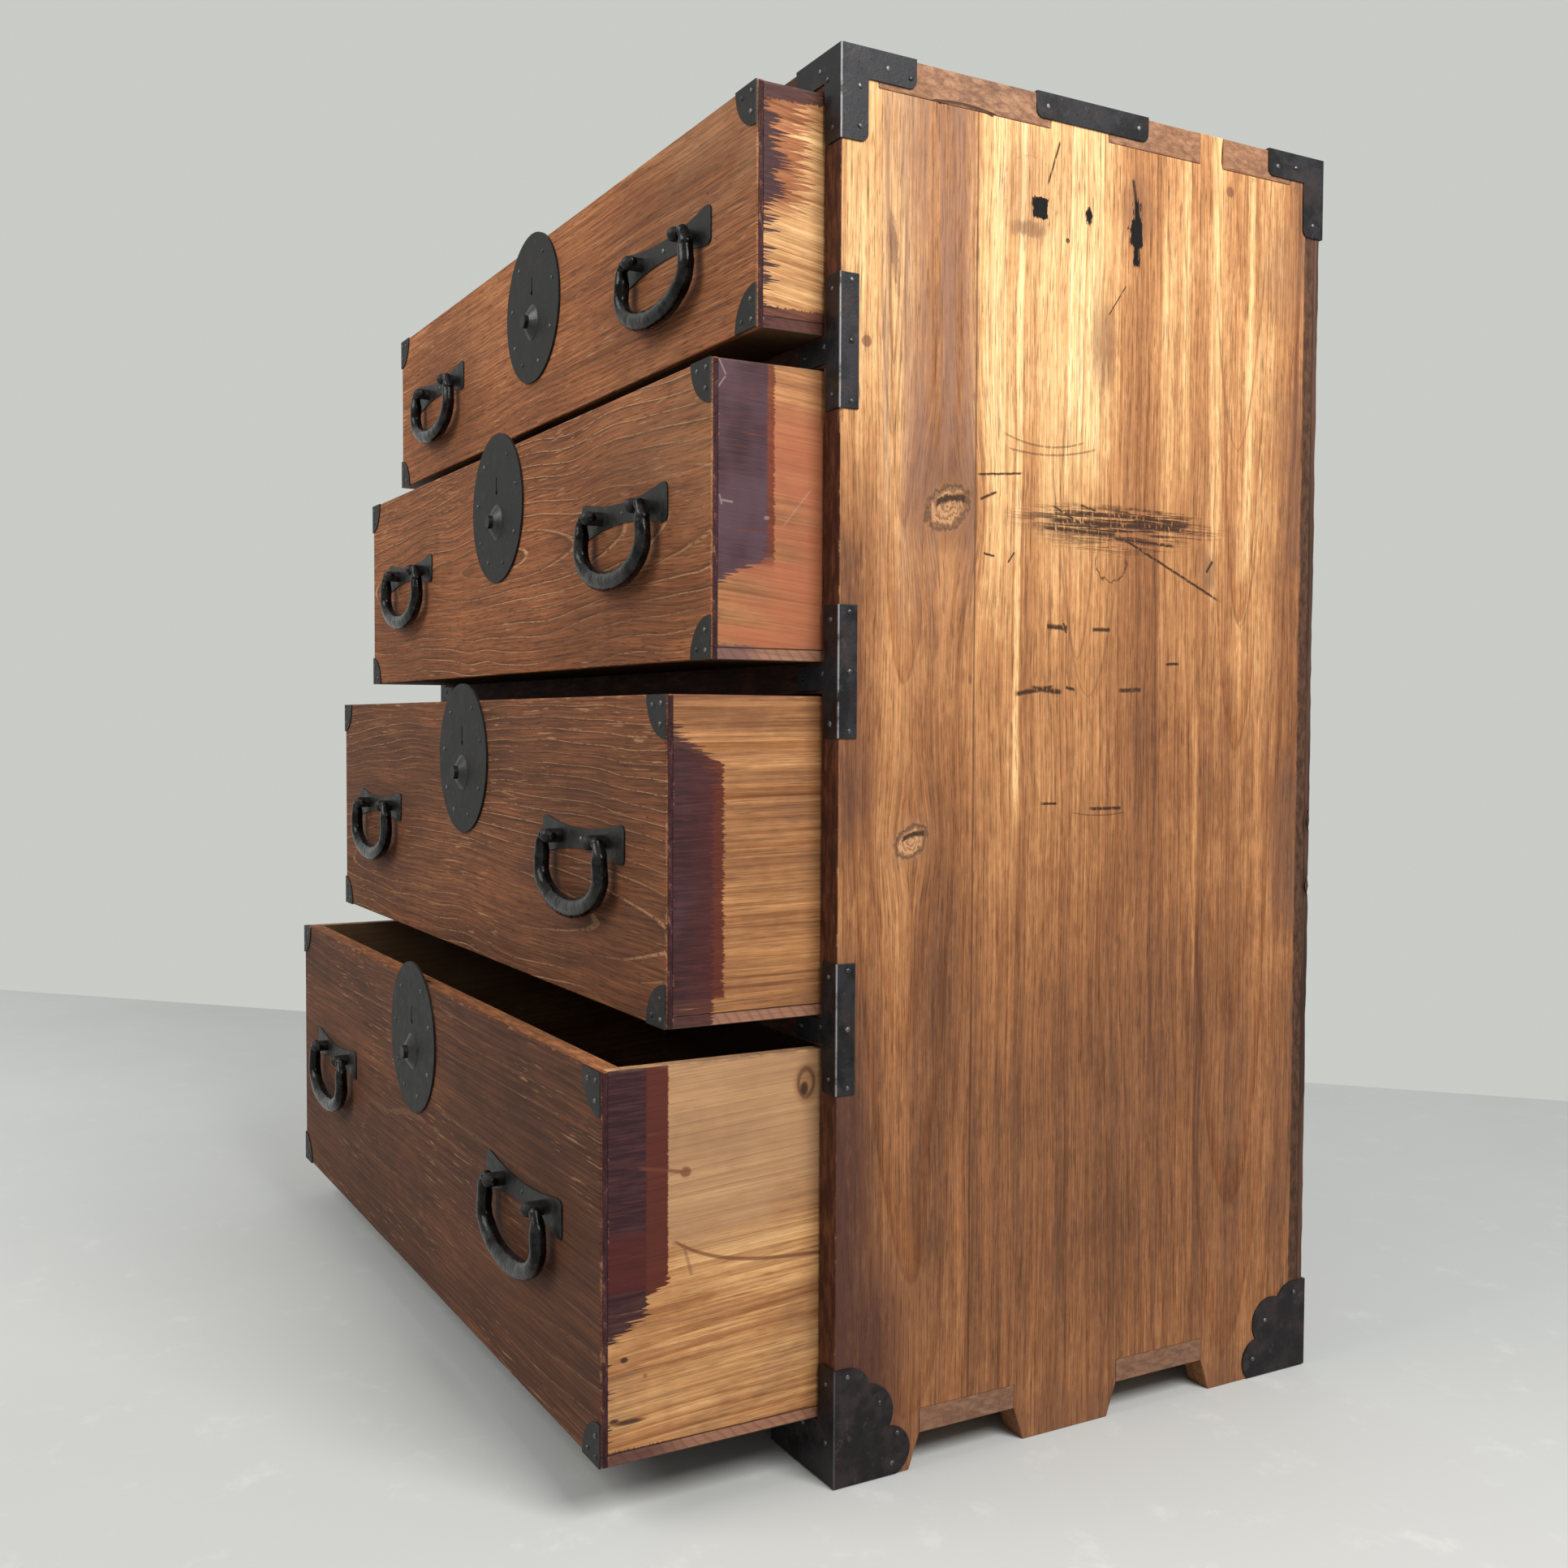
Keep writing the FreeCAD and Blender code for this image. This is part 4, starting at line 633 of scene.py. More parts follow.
def front_wood(number, colours):
    """Stained drawer front: fine grain along it, raised grain lines rubbed pale."""
    net = Net(f"drawer_front_wood_{number}", colours)
    # dull is the strength of a pale painted sheen on the front's right end
    grain, raised, darkness, dull = FRONTS[number]
    low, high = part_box(f"drawer_{number}_front")
    x, y, z = net.x, net.y - low.y, net.z - low.z
    height = high.z - low.z
    seed = grain.seed
    swung = z + (net.noise((x * 6 + seed, z * 4, 1.1), 1) - 0.5) * 0.018 * raised
    lines = grain_lines(net, x, swung, y, grain)
    broad = net.noise((x * 2.6, swung * 14, seed), 3, 0.55)
    narrow = net.noise((x * 4.5 + seed, swung * 170, 2.6), 3, 0.62)
    hair = net.noise((x * 11 + seed, swung * 480, 5.2), 2, 0.6)
    cloud = net.noise((x * 9, z * 22, seed + 4), 4, 0.6)
    level = 0.70 - darkness * 0.62 + (broad - 0.5) * 0.55 + (narrow - 0.5) * 0.45
    level = level + (cloud - 0.5) * 0.45 + (hair - 0.5) * 0.75
    tones = ("front_deep", "front_dark", "front_brown", "front_light")
    net.base = net.ramp(level, *zip((0, 0.35, 0.70, 1), tones))
    net.lay(lines["late"] * 0.40, "front_deep")
    net.base = fibres(net, net.base, lines, 0.65)
    # the ridges where a ring closes, rubbed through the stain
    patch = net.noise((x * 4 + 3, z * 16, seed)).rise(0.34, 0.56)
    ridge = abs(lines["phase"] - 0.955).rise(0.070, 0.022) * patch
    ridge = ridge * net.noise((x * 120, z * 300, 1.0)).rise(0.30, 0.52) * raised
    ridge = ridge * lines["strength"].rise(0.0, 0.6)
    net.lay(abs(lines["phase"] - 0.86).rise(0.08, 0.03) * patch * raised * 0.35, "front_deep")
    net.lay(ridge * 0.78, "front_ridge")
    # short pale rubs along the grain
    dash = net.noise((x * 30, z * 520, seed + 8)).rise(0.62, 0.70)
    dash = dash * net.noise((x * 7, z * 13, seed + 2)).rise(0.44, 0.58)
    net.lay(dash * (0.6 - darkness * 0.3), "front_ridge")
    # chipped edges, dark handling round the handles, dents
    to_end = DRAWER_SIDE - abs(x)
    rub = net.noise((x * 45, z * 60, y * 160), 4, 0.7)
    worn = to_end.least(z).least(height - z).rise(0.0030, 0.0004) * rub.rise(0.52, 0.64)
    net.lay(worn * 0.28, "front_ridge")
    hand = net.spot(abs(x), z, (0.283, height * 0.40), (0.095, 0.060), 0.9)
    net.lay(hand * 0.34, "front_deep")
    flecks = net.cells((x * 30, z * 60, seed)).rise(0.09, 0.04)
    flecks = flecks * net.noise((x * 9, z * 9, 4.4)).rise(0.48, 0.58)
    net.lay(flecks * 0.6, "fleck")
    # a pale painted sheen towards the right end of the upper fronts, standing for the lamp's
    # reflection there
    net.lay(x.rise(0.16, 0.42) * z.rise(0.05, 0.14) * cloud.rise(0.30, 0.60) * dull, "drawer_dust")
    if number == 4:
        front_swirls(net, x, z, rub)
    # behind the face the board is bare; its ends carry the sides' old lacquer
    behind = y.rise(0.0042, 0.0052)
    net.lay(behind, wood_colour(net, lines, "drawer_pale", "drawer_mid", "drawer_dark"))
    lacquer = net.mix(rub.rise(0.35, 0.65), "plum", "plum_worn")
    lacquer = net.mix(rub.rise(0.58, 0.66) * 0.3, lacquer, "drawer_mid")
    net.lay(to_end.rise(0.0011, 0.0004) * y.rise(0.0008, 0.0016), lacquer)
    top_face = (height - z).rise(0.0011, 0.0004) * y.rise(0.0010, 0.0020)
    net.lay(top_face * 0.90, net.mix(rub.rise(0.36, 0.60), "front_brown", "front_dark"))
    # painted shade on the back face, inside the drawer
    net.lay(y.rise(0.0164, 0.0168) * 0.88, "inside")
    relief = lines["fibre"] * 0.55 + ridge * 1.2 - lines["pore"] * 0.5 - lines["late"] * 0.2
    relief = relief - worn * 0.4 - flecks * 0.9
    sheen = 0.56 + lines["fibre"] * 0.16 + ridge * 0.10 + behind * 0.10
    return net.finish(sheen, relief, depth=0.5 * MM, specular=0.13)


def front_swirls(net, x, z, rub):
    """Faint burls and one chipped mark in the bottom drawer's front."""
    for across, up, wide, tall in ((-0.02, 0.075, 0.075, 0.060), (0.215, 0.205, 0.045, 0.050)):
        a = (x - across) / wide
        b = (z - up) / tall
        reach = (a * a + b * b).root() + (rub - 0.5) * 0.5
        swirl = (reach * 2.6).fract().rise(0.45, 0.95) * reach.rise(1.25, 0.8)
        net.lay(swirl * 0.40, "front_deep")
    mark = net.spot(x + (rub - 0.5) * 0.03, z, (0.042, 0.158), (0.010, 0.016), 0.4)
    net.lay(mark * rub.rise(0.42, 0.54) * 0.8, "red_mark")


def brushed(net, inside, along, ragged, seed):
    """1 where inside is positive, with the torn edge that a dry brush leaves along it."""
    bristles = net.noise((seed, inside * 4, along * 520), 2, 0.6) - 0.5
    clumps = net.noise((seed, inside * 3, along * 75)) - 0.5
    return (inside + (bristles * 2.2 + clumps * 0.8) * ragged).rise(-0.0006, 0.0008)


def drawer_bands(net, number, y, z, height):
    """Where lacquer lies on a drawer's side: (full strength, thin wash), both 0 to 1."""
    seed = number * 3.7

    def band(inside, along, ragged, step):
        return brushed(net, inside, along, ragged, seed + step)

    if number == 1:
        wide = z.rise(0.060, 0.095) * z.rise(0.160, 0.130) * 0.012 + 0.006
        top = band(z - height + 0.0120 - y * 0.06, y, 0.003, 1)
        low = band(0.0150 - z, y, 0.0020, 2)
        wash = band(0.036 - y, z, 0.034, 3) * z.rise(0.070, 0.090)
        return band(wide - y, z, 0.030, 0).most(top * 0.9).most(low * 0.6), wash.most(low)
    if number == 2:
        wide = z.rise(0.046, 0.074) * 0.0430
        front = band(wide - y, z, z.rise(0.095, 0.060) * 0.018 + 0.0014, 0)
        low = band(0.0105 - z, y, 0.003, 2) * y.rise(0.045, 0.02) * 0.6
        return front.most(low), band(0.0485 - y, z, 0.0030, 4) * z.rise(0.060, 0.075)
    if number == 3:
        wide = z.rise(0.212, 0.175) * 0.035
        front = band(wide - y, z, z.rise(0.150, 0.175) * 0.022 + 0.007, 0)
        thin = band(z.rise(0.196, 0.176) * 0.0430 - y, z, 0.006, 5)
        return front, thin * z.rise(0.016, 0.020)
    wide = z.rise(0.078, 0.100) * 0.0330
    deep = band(wide - y, z, z.rise(0.112, 0.092) * 0.024 + 0.0012, 0)
    ragged = z.rise(0.125, 0.115) * 0.010 + 0.0014
    thin = band(z.rise(0.100, 0.118) * 0.0490 - y, z, ragged, 2)
    low = band(0.009 - z, y, 0.003, 4) * y.rise(0.075, 0.030) * 0.7
    return deep.most(low), thin


# per drawer: slope of the grain, height of the heart, how much paler than usual, and how
# much red glaze the thin wash carries
SIDES = {
    1: (-0.16, 0.32, 0.02, 0.25),
    2: (-0.10, 0.12, -0.29, 0.50),
    3: (0.02, 0.17, -0.34, 0.80),
    4: (0.06, 0.10, -0.08, 0.92),
}

# pale scratches through the second drawer's lacquer, in millimetres
LACQUER_SCRATCHES = (
    (5, 203, 11, 191, 0.9), (11, 191, 2, 179, 0.9), (6, 107.5, 17, 106.5, 1.2),
    (6, 111.5, 8, 104, 1.0), (55, 92, 79, 121, 0.9, 0.6),
)


def drawer_wood(number, colours):
    """Bare paulownia of a drawer's sides, back and bottom, with its brushed lacquer band."""
    net = Net(f"drawer_wood_{number}", colours)
    low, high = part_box(f"drawer_{number}_front")
    seed = number * 5.3
    x, y, z = net.x, net.y - low.y, net.z - low.z
    height = high.z - low.z
    slope, heart, tone, glaze = SIDES[number]
    up = z - y * slope
    lines = grain_lines(net, y, up, abs(x), Grain((heart, 0.475), 0.0070, 0.020, seed))
    wide = net.noise((y * 1.6 + seed, up * 30, seed + 3))
    thin = net.noise((y * 5.0, up * 190 + seed, 4.2), 3, 0.62)
    cloud = net.noise((y * 14, z * 26, seed + 9), 4, 0.62)
    mottle = net.noise((y * 70, z * 190, seed + 5), 3, 0.65)
    level = 0.58 + tone + (wide - 0.5) * 0.85 + (thin - 0.5) * 0.70 + (cloud - 0.5) * 0.45
    level = level + (mottle - 0.5) * 0.30
    tones = ("drawer_dark", "drawer_mid", "drawer_pale", "drawer_light")
    net.base = net.ramp(level, *zip((0.05, 0.40, 0.70, 0.95), tones))
    net.lay(1, net.mix(lines["late"], (1, 1, 1), (0.66, 0.53, 0.42)), "MULTIPLY")
    net.base = fibres(net, net.base, lines, 0.4)
    vessels = net.noise((y * 40, up * 520, seed + 3), 2, 0.6).rise(0.56, 0.70)
    net.lay(vessels * 0.38, "drawer_dark")
    if number == 2:
        # stained orange between the lacquer and a pale upper corner
        stained = z.rise(0.205, 0.150) * (wide - 0.5 + y * 2).rise(-0.10, 0.08)
        net.lay(stained * (y + cloud * 0.06).rise(0.19, 0.12) * 0.72, "drawer_red")
    if number == 4:
        dusty = (z - y * 0.2 + (cloud - 0.5) * 0.10).rise(0.100, 0.150)
        net.lay(dusty * 0.62, "drawer_dust")
    outer = abs(x).rise(DRAWER_SIDE - 0.0012, DRAWER_SIDE - 0.0004)
    grime = net.noise((x * 5, y * 9, z * 9 + seed), 4, 0.65)
    net.lay(grime.rise(0.52, 0.72) * 0.35, "grime")
    # the edge of the bottom board
    strip = net.mix(lines["fibre"], "strip_dark", "strip_pale")
    arcs = ((y + z * 0.8) * 110 + grime * 3).fract()
    strip = net.mix(arcs.rise(0.5, 0.9) * 0.45, strip, "strip_dark")
    net.lay(z.rise(0.0083, 0.0078) * outer, strip)
    net.lay(abs(z - 0.0080).rise(0.0007, 0.0002) * outer * 0.8, "gap")
    # brushed lacquer
    full, wash = drawer_bands(net, number, y, z, height)
    drying = net.noise((y * 26, z * 340, seed), 4, 0.7)
    cloudy = net.noise((y * 14, z * 10, seed + 6), 3, 0.6)
    pigment = net.mix(drying.rise(0.40, 0.66), "plum", "plum_worn")
    if number == 2:
        pigment = net.mix(cloudy.rise(0.25, 0.55) * 0.85, pigment, "plum_grey")
    if number == 3:
        pigment = net.mix(cloudy.rise(0.46, 0.64) * 0.4, pigment, "plum_grey")
        pigment = net.mix(y.rise(0.010, 0.034) * 0.45, pigment, "plum_red")
    if number == 4:
        redder = z.rise(0.158, 0.150) * z.rise(0.112, 0.120) * drying.rise(0.25, 0.45)
        pigment = net.mix(redder * 0.8, pigment, "plum_red")
    washed = net.mix(1, net.base, "wash", "MULTIPLY")
    net.lay(wash * outer * (drying.rise(0.25, 0.6) * 0.3 + 0.7), washed)
    net.lay(wash * outer * drying.rise(0.0, 0.40) * glaze, "plum_red")
    cover = full * outer * net.noise((y * 22, z * 420, seed + 2), 3, 0.7).rise(0.74, 0.62)
    net.lay(cover * (0.90 if number == 3 else 0.97), pigment)
    # chips along the corner
    rub = net.noise((x * 60, y * 60, z * 170), 4, 0.7)
    chips = (y - 0.0045).rise(0.0022, 0.0) * rub.rise(0.56, 0.64) * outer
    net.lay(chips * 0.55, "drawer_mid")
    relief = lines["fibre"] * 0.45 - lines["late"] * 0.3 + cover * 0.35 - chips * 0.6
    if number == 2:
        scratches = net.strokes(y, z, LACQUER_SCRATCHES)
        scratches = scratches.most(net.spot(y, z, (0.0425, 0.0975), (0.0020, 0.0012), 0.4))
        net.lay(scratches * outer * 0.30, "scratch")
    if number == 4:
        relief = relief - bottom_drawer_marks(net, y, z, grime, outer)
    # greyed top edges, stray pin holes, and painted shade on the inside faces and the underside
    net.lay((height - z).rise(0.0030, 0.0004) * rub.rise(0.38, 0.58) * 0.5, "grime")
    pins = net.cells((y * 22, z * 22, seed)).rise(0.055, 0.03)
    pins = pins * net.noise((y * 8, z * 8, 6.0)).rise(0.50, 0.58) * outer
    net.lay(pins * 0.8, "pin_hole")
    hidden = abs(x).rise(DRAWER_SIDE - 0.0108, DRAWER_SIDE - 0.0112)
    net.lay(hidden.most(z.rise(0.0007, 0.0003)) * 0.88, "inside")
    sheen = 0.56 + lines["fibre"] * 0.14 - cover * (0.12 - drying * 0.16)
    return net.finish(sheen, relief - pins, depth=0.4 * MM, specular=0.18)


def bottom_drawer_marks(net, y, z, grime, outer):
    """A run of stain, a dark drop, spots and a knot on the bottom drawer's side."""
    start = (y - 0.055).most(0)
    fall = (start * -26).exponent() * 0.027
    drip = abs(z - 0.1165 - fall - start * 0.012).rise(0.0019, 0.0007) * y.rise(0.050, 0.057)
    runs = ((60, 143, 67, 118, 2.0, 0.6), (26, 198, 66, 190, 2.1))
    stain = drip.most(net.strokes(y, z, runs))
    stain = stain.most(net.spot(y, z, (0.0620, 0.1908), (0.0040, 0.0034), 0.3)) * outer
    net.lay(stain * 0.75, "drip")
    knot_y = (y - 0.1560) / 0.0075
    knot_z = (z - 0.2415) / 0.0115
    reach = (knot_y * knot_y + knot_z * knot_z).root() + (grime - 0.5) * 0.8
    net.lay(reach.rise(1.6, 0.9) * outer * 0.6, "drawer_dark")
    rim = abs(reach - 0.80).rise(0.28, 0.06) * outer
    net.lay(rim * 0.8, "pin_hole")
    hollow = net.spot(y, z, (0.1545, 0.2375), (0.0028, 0.0042), 0.4) * outer
    net.lay(hollow * 0.9, "hollow")
    drops = (
        ((0.0168, 0.070), (0.0026, 0.0018), 0.4, 1),
        ((0.0205, 0.0275), (0.0095, 0.0015), 0.6, 1),
        ((0.0095, 0.0300), (0.0030, 0.0012), 0.6, 1),
    )
    net.lay(net.spots(y, z, drops) * outer * 0.9, "plum")
    return rim * 0.8 + hollow * 2.5


# ---------------------------------------------------------------- iron


def iron(name, tones, rough, scale=1.0, pitted=0.4, rust=0.1, metallic=0.4, foot=None, boss=None):
    """Blackened iron: mottled skin, fine pits, rubbed patches and faint rust.

    tones are the dark and the rubbed colour and rough the range of roughness. The irons of
    the case are given foot too, the two colours of those that stand near the floor; their
    folds along the case's upright corners are rubbed bright, partly wear and partly a painted
    highlight. boss, if given, is a depth in front of which the iron is rubbed by hands and
    shines, and is painted paler as a highlight.
    """
    net = Net(name)
    dark, pale = tones
    if foot:
        low = net.z.rise(0.20, 0.18)
        dark, pale = net.mix(low, dark, foot[0]), net.mix(low, pale, foot[1])

    def skin(size, detail, roughness):
        return net.noise(net.place, detail, roughness, size * scale)

    mottle = skin(60, 4, 0.62)
    fine = skin(420, 3, 0.6)
    pits = net.cells(net.place, 380 * scale).rise(0.22, 0.08) * mottle.rise(0.45, 0.60)
    bright = net.mix(1, pale, (2.2, 2.2, 2.2), "MULTIPLY")
    net.base = net.mix(mottle.rise(0.38, 0.66), dark, pale)
    net.lay(skin(130, 5, 0.7).rise(0.57, 0.70) * 0.6, bright)
    net.lay(skin(34, 3, 0.6).rise(0.54, 0.72) * rust, "rust")
    net.lay(pits * 0.6, "pit")
    if foot:
        # the folds along the upright corners, rubbed bright: partly wear, partly a painted
        # highlight where the rounded bend catches the light
        fold_x = abs(net.x) - CASE_SIDE - SHEET
        fold_y = net.y - CASE_FRONT + SHEET
        from_fold = (fold_x * fold_x + fold_y * fold_y).root()
        fold = from_fold.rise(0.0014, 0.0006) * mottle.rise(0.30, 0.50) * (1 - low * 0.8)
        net.lay(fold * 0.75, "rubbed_fold")
    sheen = rough[0] + mottle.rise(0.35, 0.70) * (rough[1] - rough[0]) + fine * 0.05
    # the boss, rubbed by hands and glossier, is painted paler too, as a highlight
    if boss is not None:
        handled_and_highlight = net.y.rise(boss + 0.0002, boss - 0.0006)
        net.lay(handled_and_highlight * 0.5, bright)
        sheen = sheen - handled_and_highlight * 0.26
    relief = mottle * 0.7 + fine * 0.35 - pits * pitted
    return net.finish(sheen, relief, depth=0.4 * MM, specular=0.35, metallic=metallic)


# ---------------------------------------------------------------- meshes


def mesh_object(name, mesh, material):
    made = bpy.data.objects.new(name, mesh)
    bpy.context.scene.collection.objects.link(made)
    made.data.materials.clear()
    made.data.materials.append(material)
    return made


def merged(node):
    """A node's mesh with its loose triangles joined."""
    solid = bmesh.new()
    solid.from_mesh(frame["nodes"][node].data)
    bmesh.ops.remove_doubles(solid, verts=solid.verts, dist=0.002 * MM)
    return solid


def mesh_of(solid, name):
    """Turns the worked solid into a mesh and lets go of it."""
    mesh = bpy.data.meshes.new(name)
    solid.to_mesh(mesh)
    solid.free()
    return mesh


def split_faces(solid, most):
    """Triangulates the faces that have more corners than most."""
    bmesh.ops.triangulate(solid, faces=[f for f in solid.faces if len(f.verts) > most])


def lay_flat(mesh, degrees=36):
    """Corner normals weighted by area, so that flat faces stay flat beside rounded edges."""
    limit = math.cos(math.radians(degrees))
    mesh.shade_smooth()
    around = [[] for _ in mesh.vertices]
    for face in mesh.polygons:
        for vertex in face.vertices:
            around[vertex].append((face.normal.copy(), face.area))
    normals = []
    for face in mesh.polygons:
        own = face.normal
        for vertex in face.vertices:
            total = Vector((0, 0, 0))
            for normal, area in around[vertex]:
                if normal.dot(own) > limit:
                    total += normal * area
            normals.append(total.normalized() if total.length > 0 else own)
    mesh.normals_split_custom_set(normals)


def stand_for(node, mesh, material):
    """Puts a finished mesh in the place of the node it was made from."""
    made = mesh_object(mesh.name, mesh, material)
    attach(made, frame["nodes"][node]["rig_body"])
    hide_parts(node)
    return made


def chip_depth(point, seed=3.1):
    """How far an edge is worn back at a point: shallow all along, deeper here and there."""
    shift = Vector((seed, seed, seed))
    shallow = noise.noise(point * 60 + shift) * 0.35 + 0.35
    chip = noise.noise(point * 26 - shift)
    return (shallow + max(0, chip - 0.30) * 5.5) * MM


def worn_copy(node, material, width, ragged=0.0, along=(), shortest=6 * MM, sharpest=50):
    """A board or iron of the frame with its edges rounded off.

    The rounded edges that run along the given axes are chipped too, by ragged times the
    usual depth.
    """
    solid = merged(node)
    flat = math.radians(0.5)
    bmesh.ops.dissolve_limit(solid, angle_limit=flat, verts=solid.verts, edges=solid.edges)
    chosen = [
        edge
        for edge in solid.edges
        if len(edge.link_faces) == 2
        and edge.calc_length() > shortest
        and edge.calc_face_angle(0) > math.radians(sharpest)
    ]
    rounding = {"offset": width, "segments": 2, "profile": 0.5}
    bmesh.ops.bevel(solid, geom=chosen, affect="EDGES", clamp_overlap=True, **rounding)
    split_faces(solid, 4)
    for axis in along:
        chip_edges(solid, axis, ragged)
    split_faces(solid, 4)
    mesh = mesh_of(solid, f"{node}_worn")
    lay_flat(mesh)
    return stand_for(node, mesh, material)


def chip_edges(solid, axis, amount, step=9 * MM):
    """Cuts the board into slices along an axis and draws its rounded edges back unevenly."""
    places = [v.co[axis] for v in solid.verts]
    normal = Vector((0, 0, 0))
    normal[axis] = 1
    for index in range(1, int((max(places) - min(places)) / step)):
        point = normal * (min(places) + index * step)
        everything = solid.verts[:] + solid.edges[:] + solid.faces[:]
        bmesh.ops.bisect_plane(solid, geom=everything, plane_co=point, plane_no=normal, dist=1e-6)
    solid.normal_update()
    others = [i for i in range(3) if i != axis]
    strips = {
        face
        for face in solid.faces
        if abs(face.normal[axis]) < 0.02 and min(abs(face.normal[i]) for i in others) > 0.2
    }
    moves = []
    for vertex in {v for face in strips for v in face.verts}:
        rounded = Vector((0, 0, 0))
        for face in vertex.link_faces:
            if face in strips:
                rounded += face.normal
        flats = [face.normal for face in vertex.link_faces if face not in strips]
        if any(flat.dot(flats[0]) < 0.99 for flat in flats):
            continue
        if flats:
            # stay in the flat face and draw back from the edge
            rounded -= flats[0] * rounded.dot(flats[0])
        if rounded.length > 0:
            depth = chip_depth(vertex.co) * amount * (1.0 if flats else 0.7)
            moves.append((vertex, rounded.normalized() * -depth))
    for vertex, move in moves:
        vertex.co += move


def forged_copy(node, material, amount, swell, grip, longest=3 * MM, degrees=44):
    """Ironwork of the frame swollen a little, with a hammered, uneven skin.

    grip tells for a point how much of both it takes, from 0 to 1.
    """
    solid = merged(node)
    for _ in range(4):
        long_edges = [edge for edge in solid.edges if edge.calc_length() > longest]
        if not long_edges:
            break
        bmesh.ops.subdivide_edges(solid, edges=long_edges, cuts=1)
        split_faces(solid, 3)
    solid.normal_update()
    moves = []
    for vertex in solid.verts:
        point = vertex.co
        blow = noise.noise(point * 95) * 0.7 + noise.noise(point * 230) * 0.4 - 0.25
        moves.append((vertex, vertex.normal * (blow * amount + swell) * grip(point)))
    for vertex, move in moves:
        vertex.co += move
    mesh = mesh_of(solid, f"{node}_forged")
    mesh.shade_smooth()
    mesh.set_sharp_from_angle(angle=math.radians(degrees))
    return stand_for(node, mesh, material)


def islands(solid):
    """The points of each separate body in a solid."""
    solid.verts.ensure_lookup_table()
    left = set(solid.verts)
    while left:
        start = left.pop()
        island, waiting = {start}, [start]
        while waiting:
            here = waiting.pop()
            for link in here.link_edges:
                other = link.other_vert(here)
                if other not in island:
                    island.add(other)
                    waiting.append(other)
        left -= island
        yield [v.co.copy() for v in island]


def nail_places(node):
    """Where each nail of a node enters: the middle of its head's foot and its way out."""
    solid = merged(node)
    places = []
    for points in islands(solid):
        low = Vector([min(p[i] for p in points) for i in range(3)])
        high = Vector([max(p[i] for p in points) for i in range(3)])
        axis = max(range(3), key=lambda i: high[i] - low[i])
        middle = (low + high) / 2
        across = [i for i in range(3) if i != axis]
        reach = [max(abs(p[i] - middle[i]) for i in across) for p in points]
        widest = max(zip(reach, (p[axis] for p in points)))[1]
        sign = 1 if widest > middle[axis] else -1
        outward = Vector((0, 0, 0))
        outward[axis] = sign
        middle[axis] = high[axis] if sign > 0 else low[axis]
        places.append((middle, outward))
    solid.free()
    return sorted(places, key=lambda place: tuple(round(c, 5) for c in place[0]))


def nail_head_nodes(material, seed):
    """Geometry Nodes group: a faceted forged head on every point, turned along "outward"."""
    group = bpy.data.node_groups.new("forged_nail_heads", "GeometryNodeTree")
    face = group.interface
    face.new_socket("Geometry", in_out="INPUT", socket_type="NodeSocketGeometry")
    radius = face.new_socket("Head radius", in_out="INPUT", socket_type="NodeSocketFloat")
    height = face.new_socket("Head height", in_out="INPUT", socket_type="NodeSocketFloat")
    face.new_socket("Geometry", in_out="OUTPUT", socket_type="NodeSocketGeometry")
    tree = Tree(group)
    points = tree.node("NodeGroupInput")
    wide, tall = points.beside("Head radius"), points.beside("Head height")
    ball = tree.node("GeometryNodeMeshUVSphere", inputs={"Segments": 9, "Rings": 6, "Radius": 1})
    size = tree.node("ShaderNodeCombineXYZ", inputs=[wide, wide, tall])
    head = tree.node("GeometryNodeTransform", inputs={"Geometry": ball, "Scale": size})
    vector = {"data_type": "FLOAT_VECTOR"}
    outward = tree.node("GeometryNodeInputNamedAttribute", vector, {"Name": "outward"})
    facing = tree.node("FunctionNodeAlignRotationToVector", {"axis": "Z"}, {"Vector": outward})
    turns = {"Min": 0, "Max": 6.28, "Seed": seed}
    turn = tree.node("FunctionNodeRandomValue", {"data_type": "FLOAT"}, turns, "Value")
    spin = tree.node("FunctionNodeAxisAngleToRotation", inputs={"Angle": turn})
    both = {"Rotation": facing, "Rotate By": spin}
    facing = tree.node("FunctionNodeRotateRotation", {"rotation_space": "LOCAL"}, both)
    sizes = {"Min": (0.86, 0.80, 0.75), "Max": (1.08, 1.05, 1.05), "Seed": seed + 1}
    squash = tree.node("FunctionNodeRandomValue", vector, sizes)
    heads = {"Points": points, "Instance": head, "Rotation": facing, "Scale": squash}
    placed = tree.node("GeometryNodeInstanceOnPoints", inputs=heads)
    real = tree.node("GeometryNodeRealizeInstances", inputs=[placed])
    dressed = {"Geometry": real, "Material": material}
    tree.node("NodeGroupOutput", inputs=[tree.node("GeometryNodeSetMaterial", inputs=dressed)])
    return group, radius.identifier, height.identifier


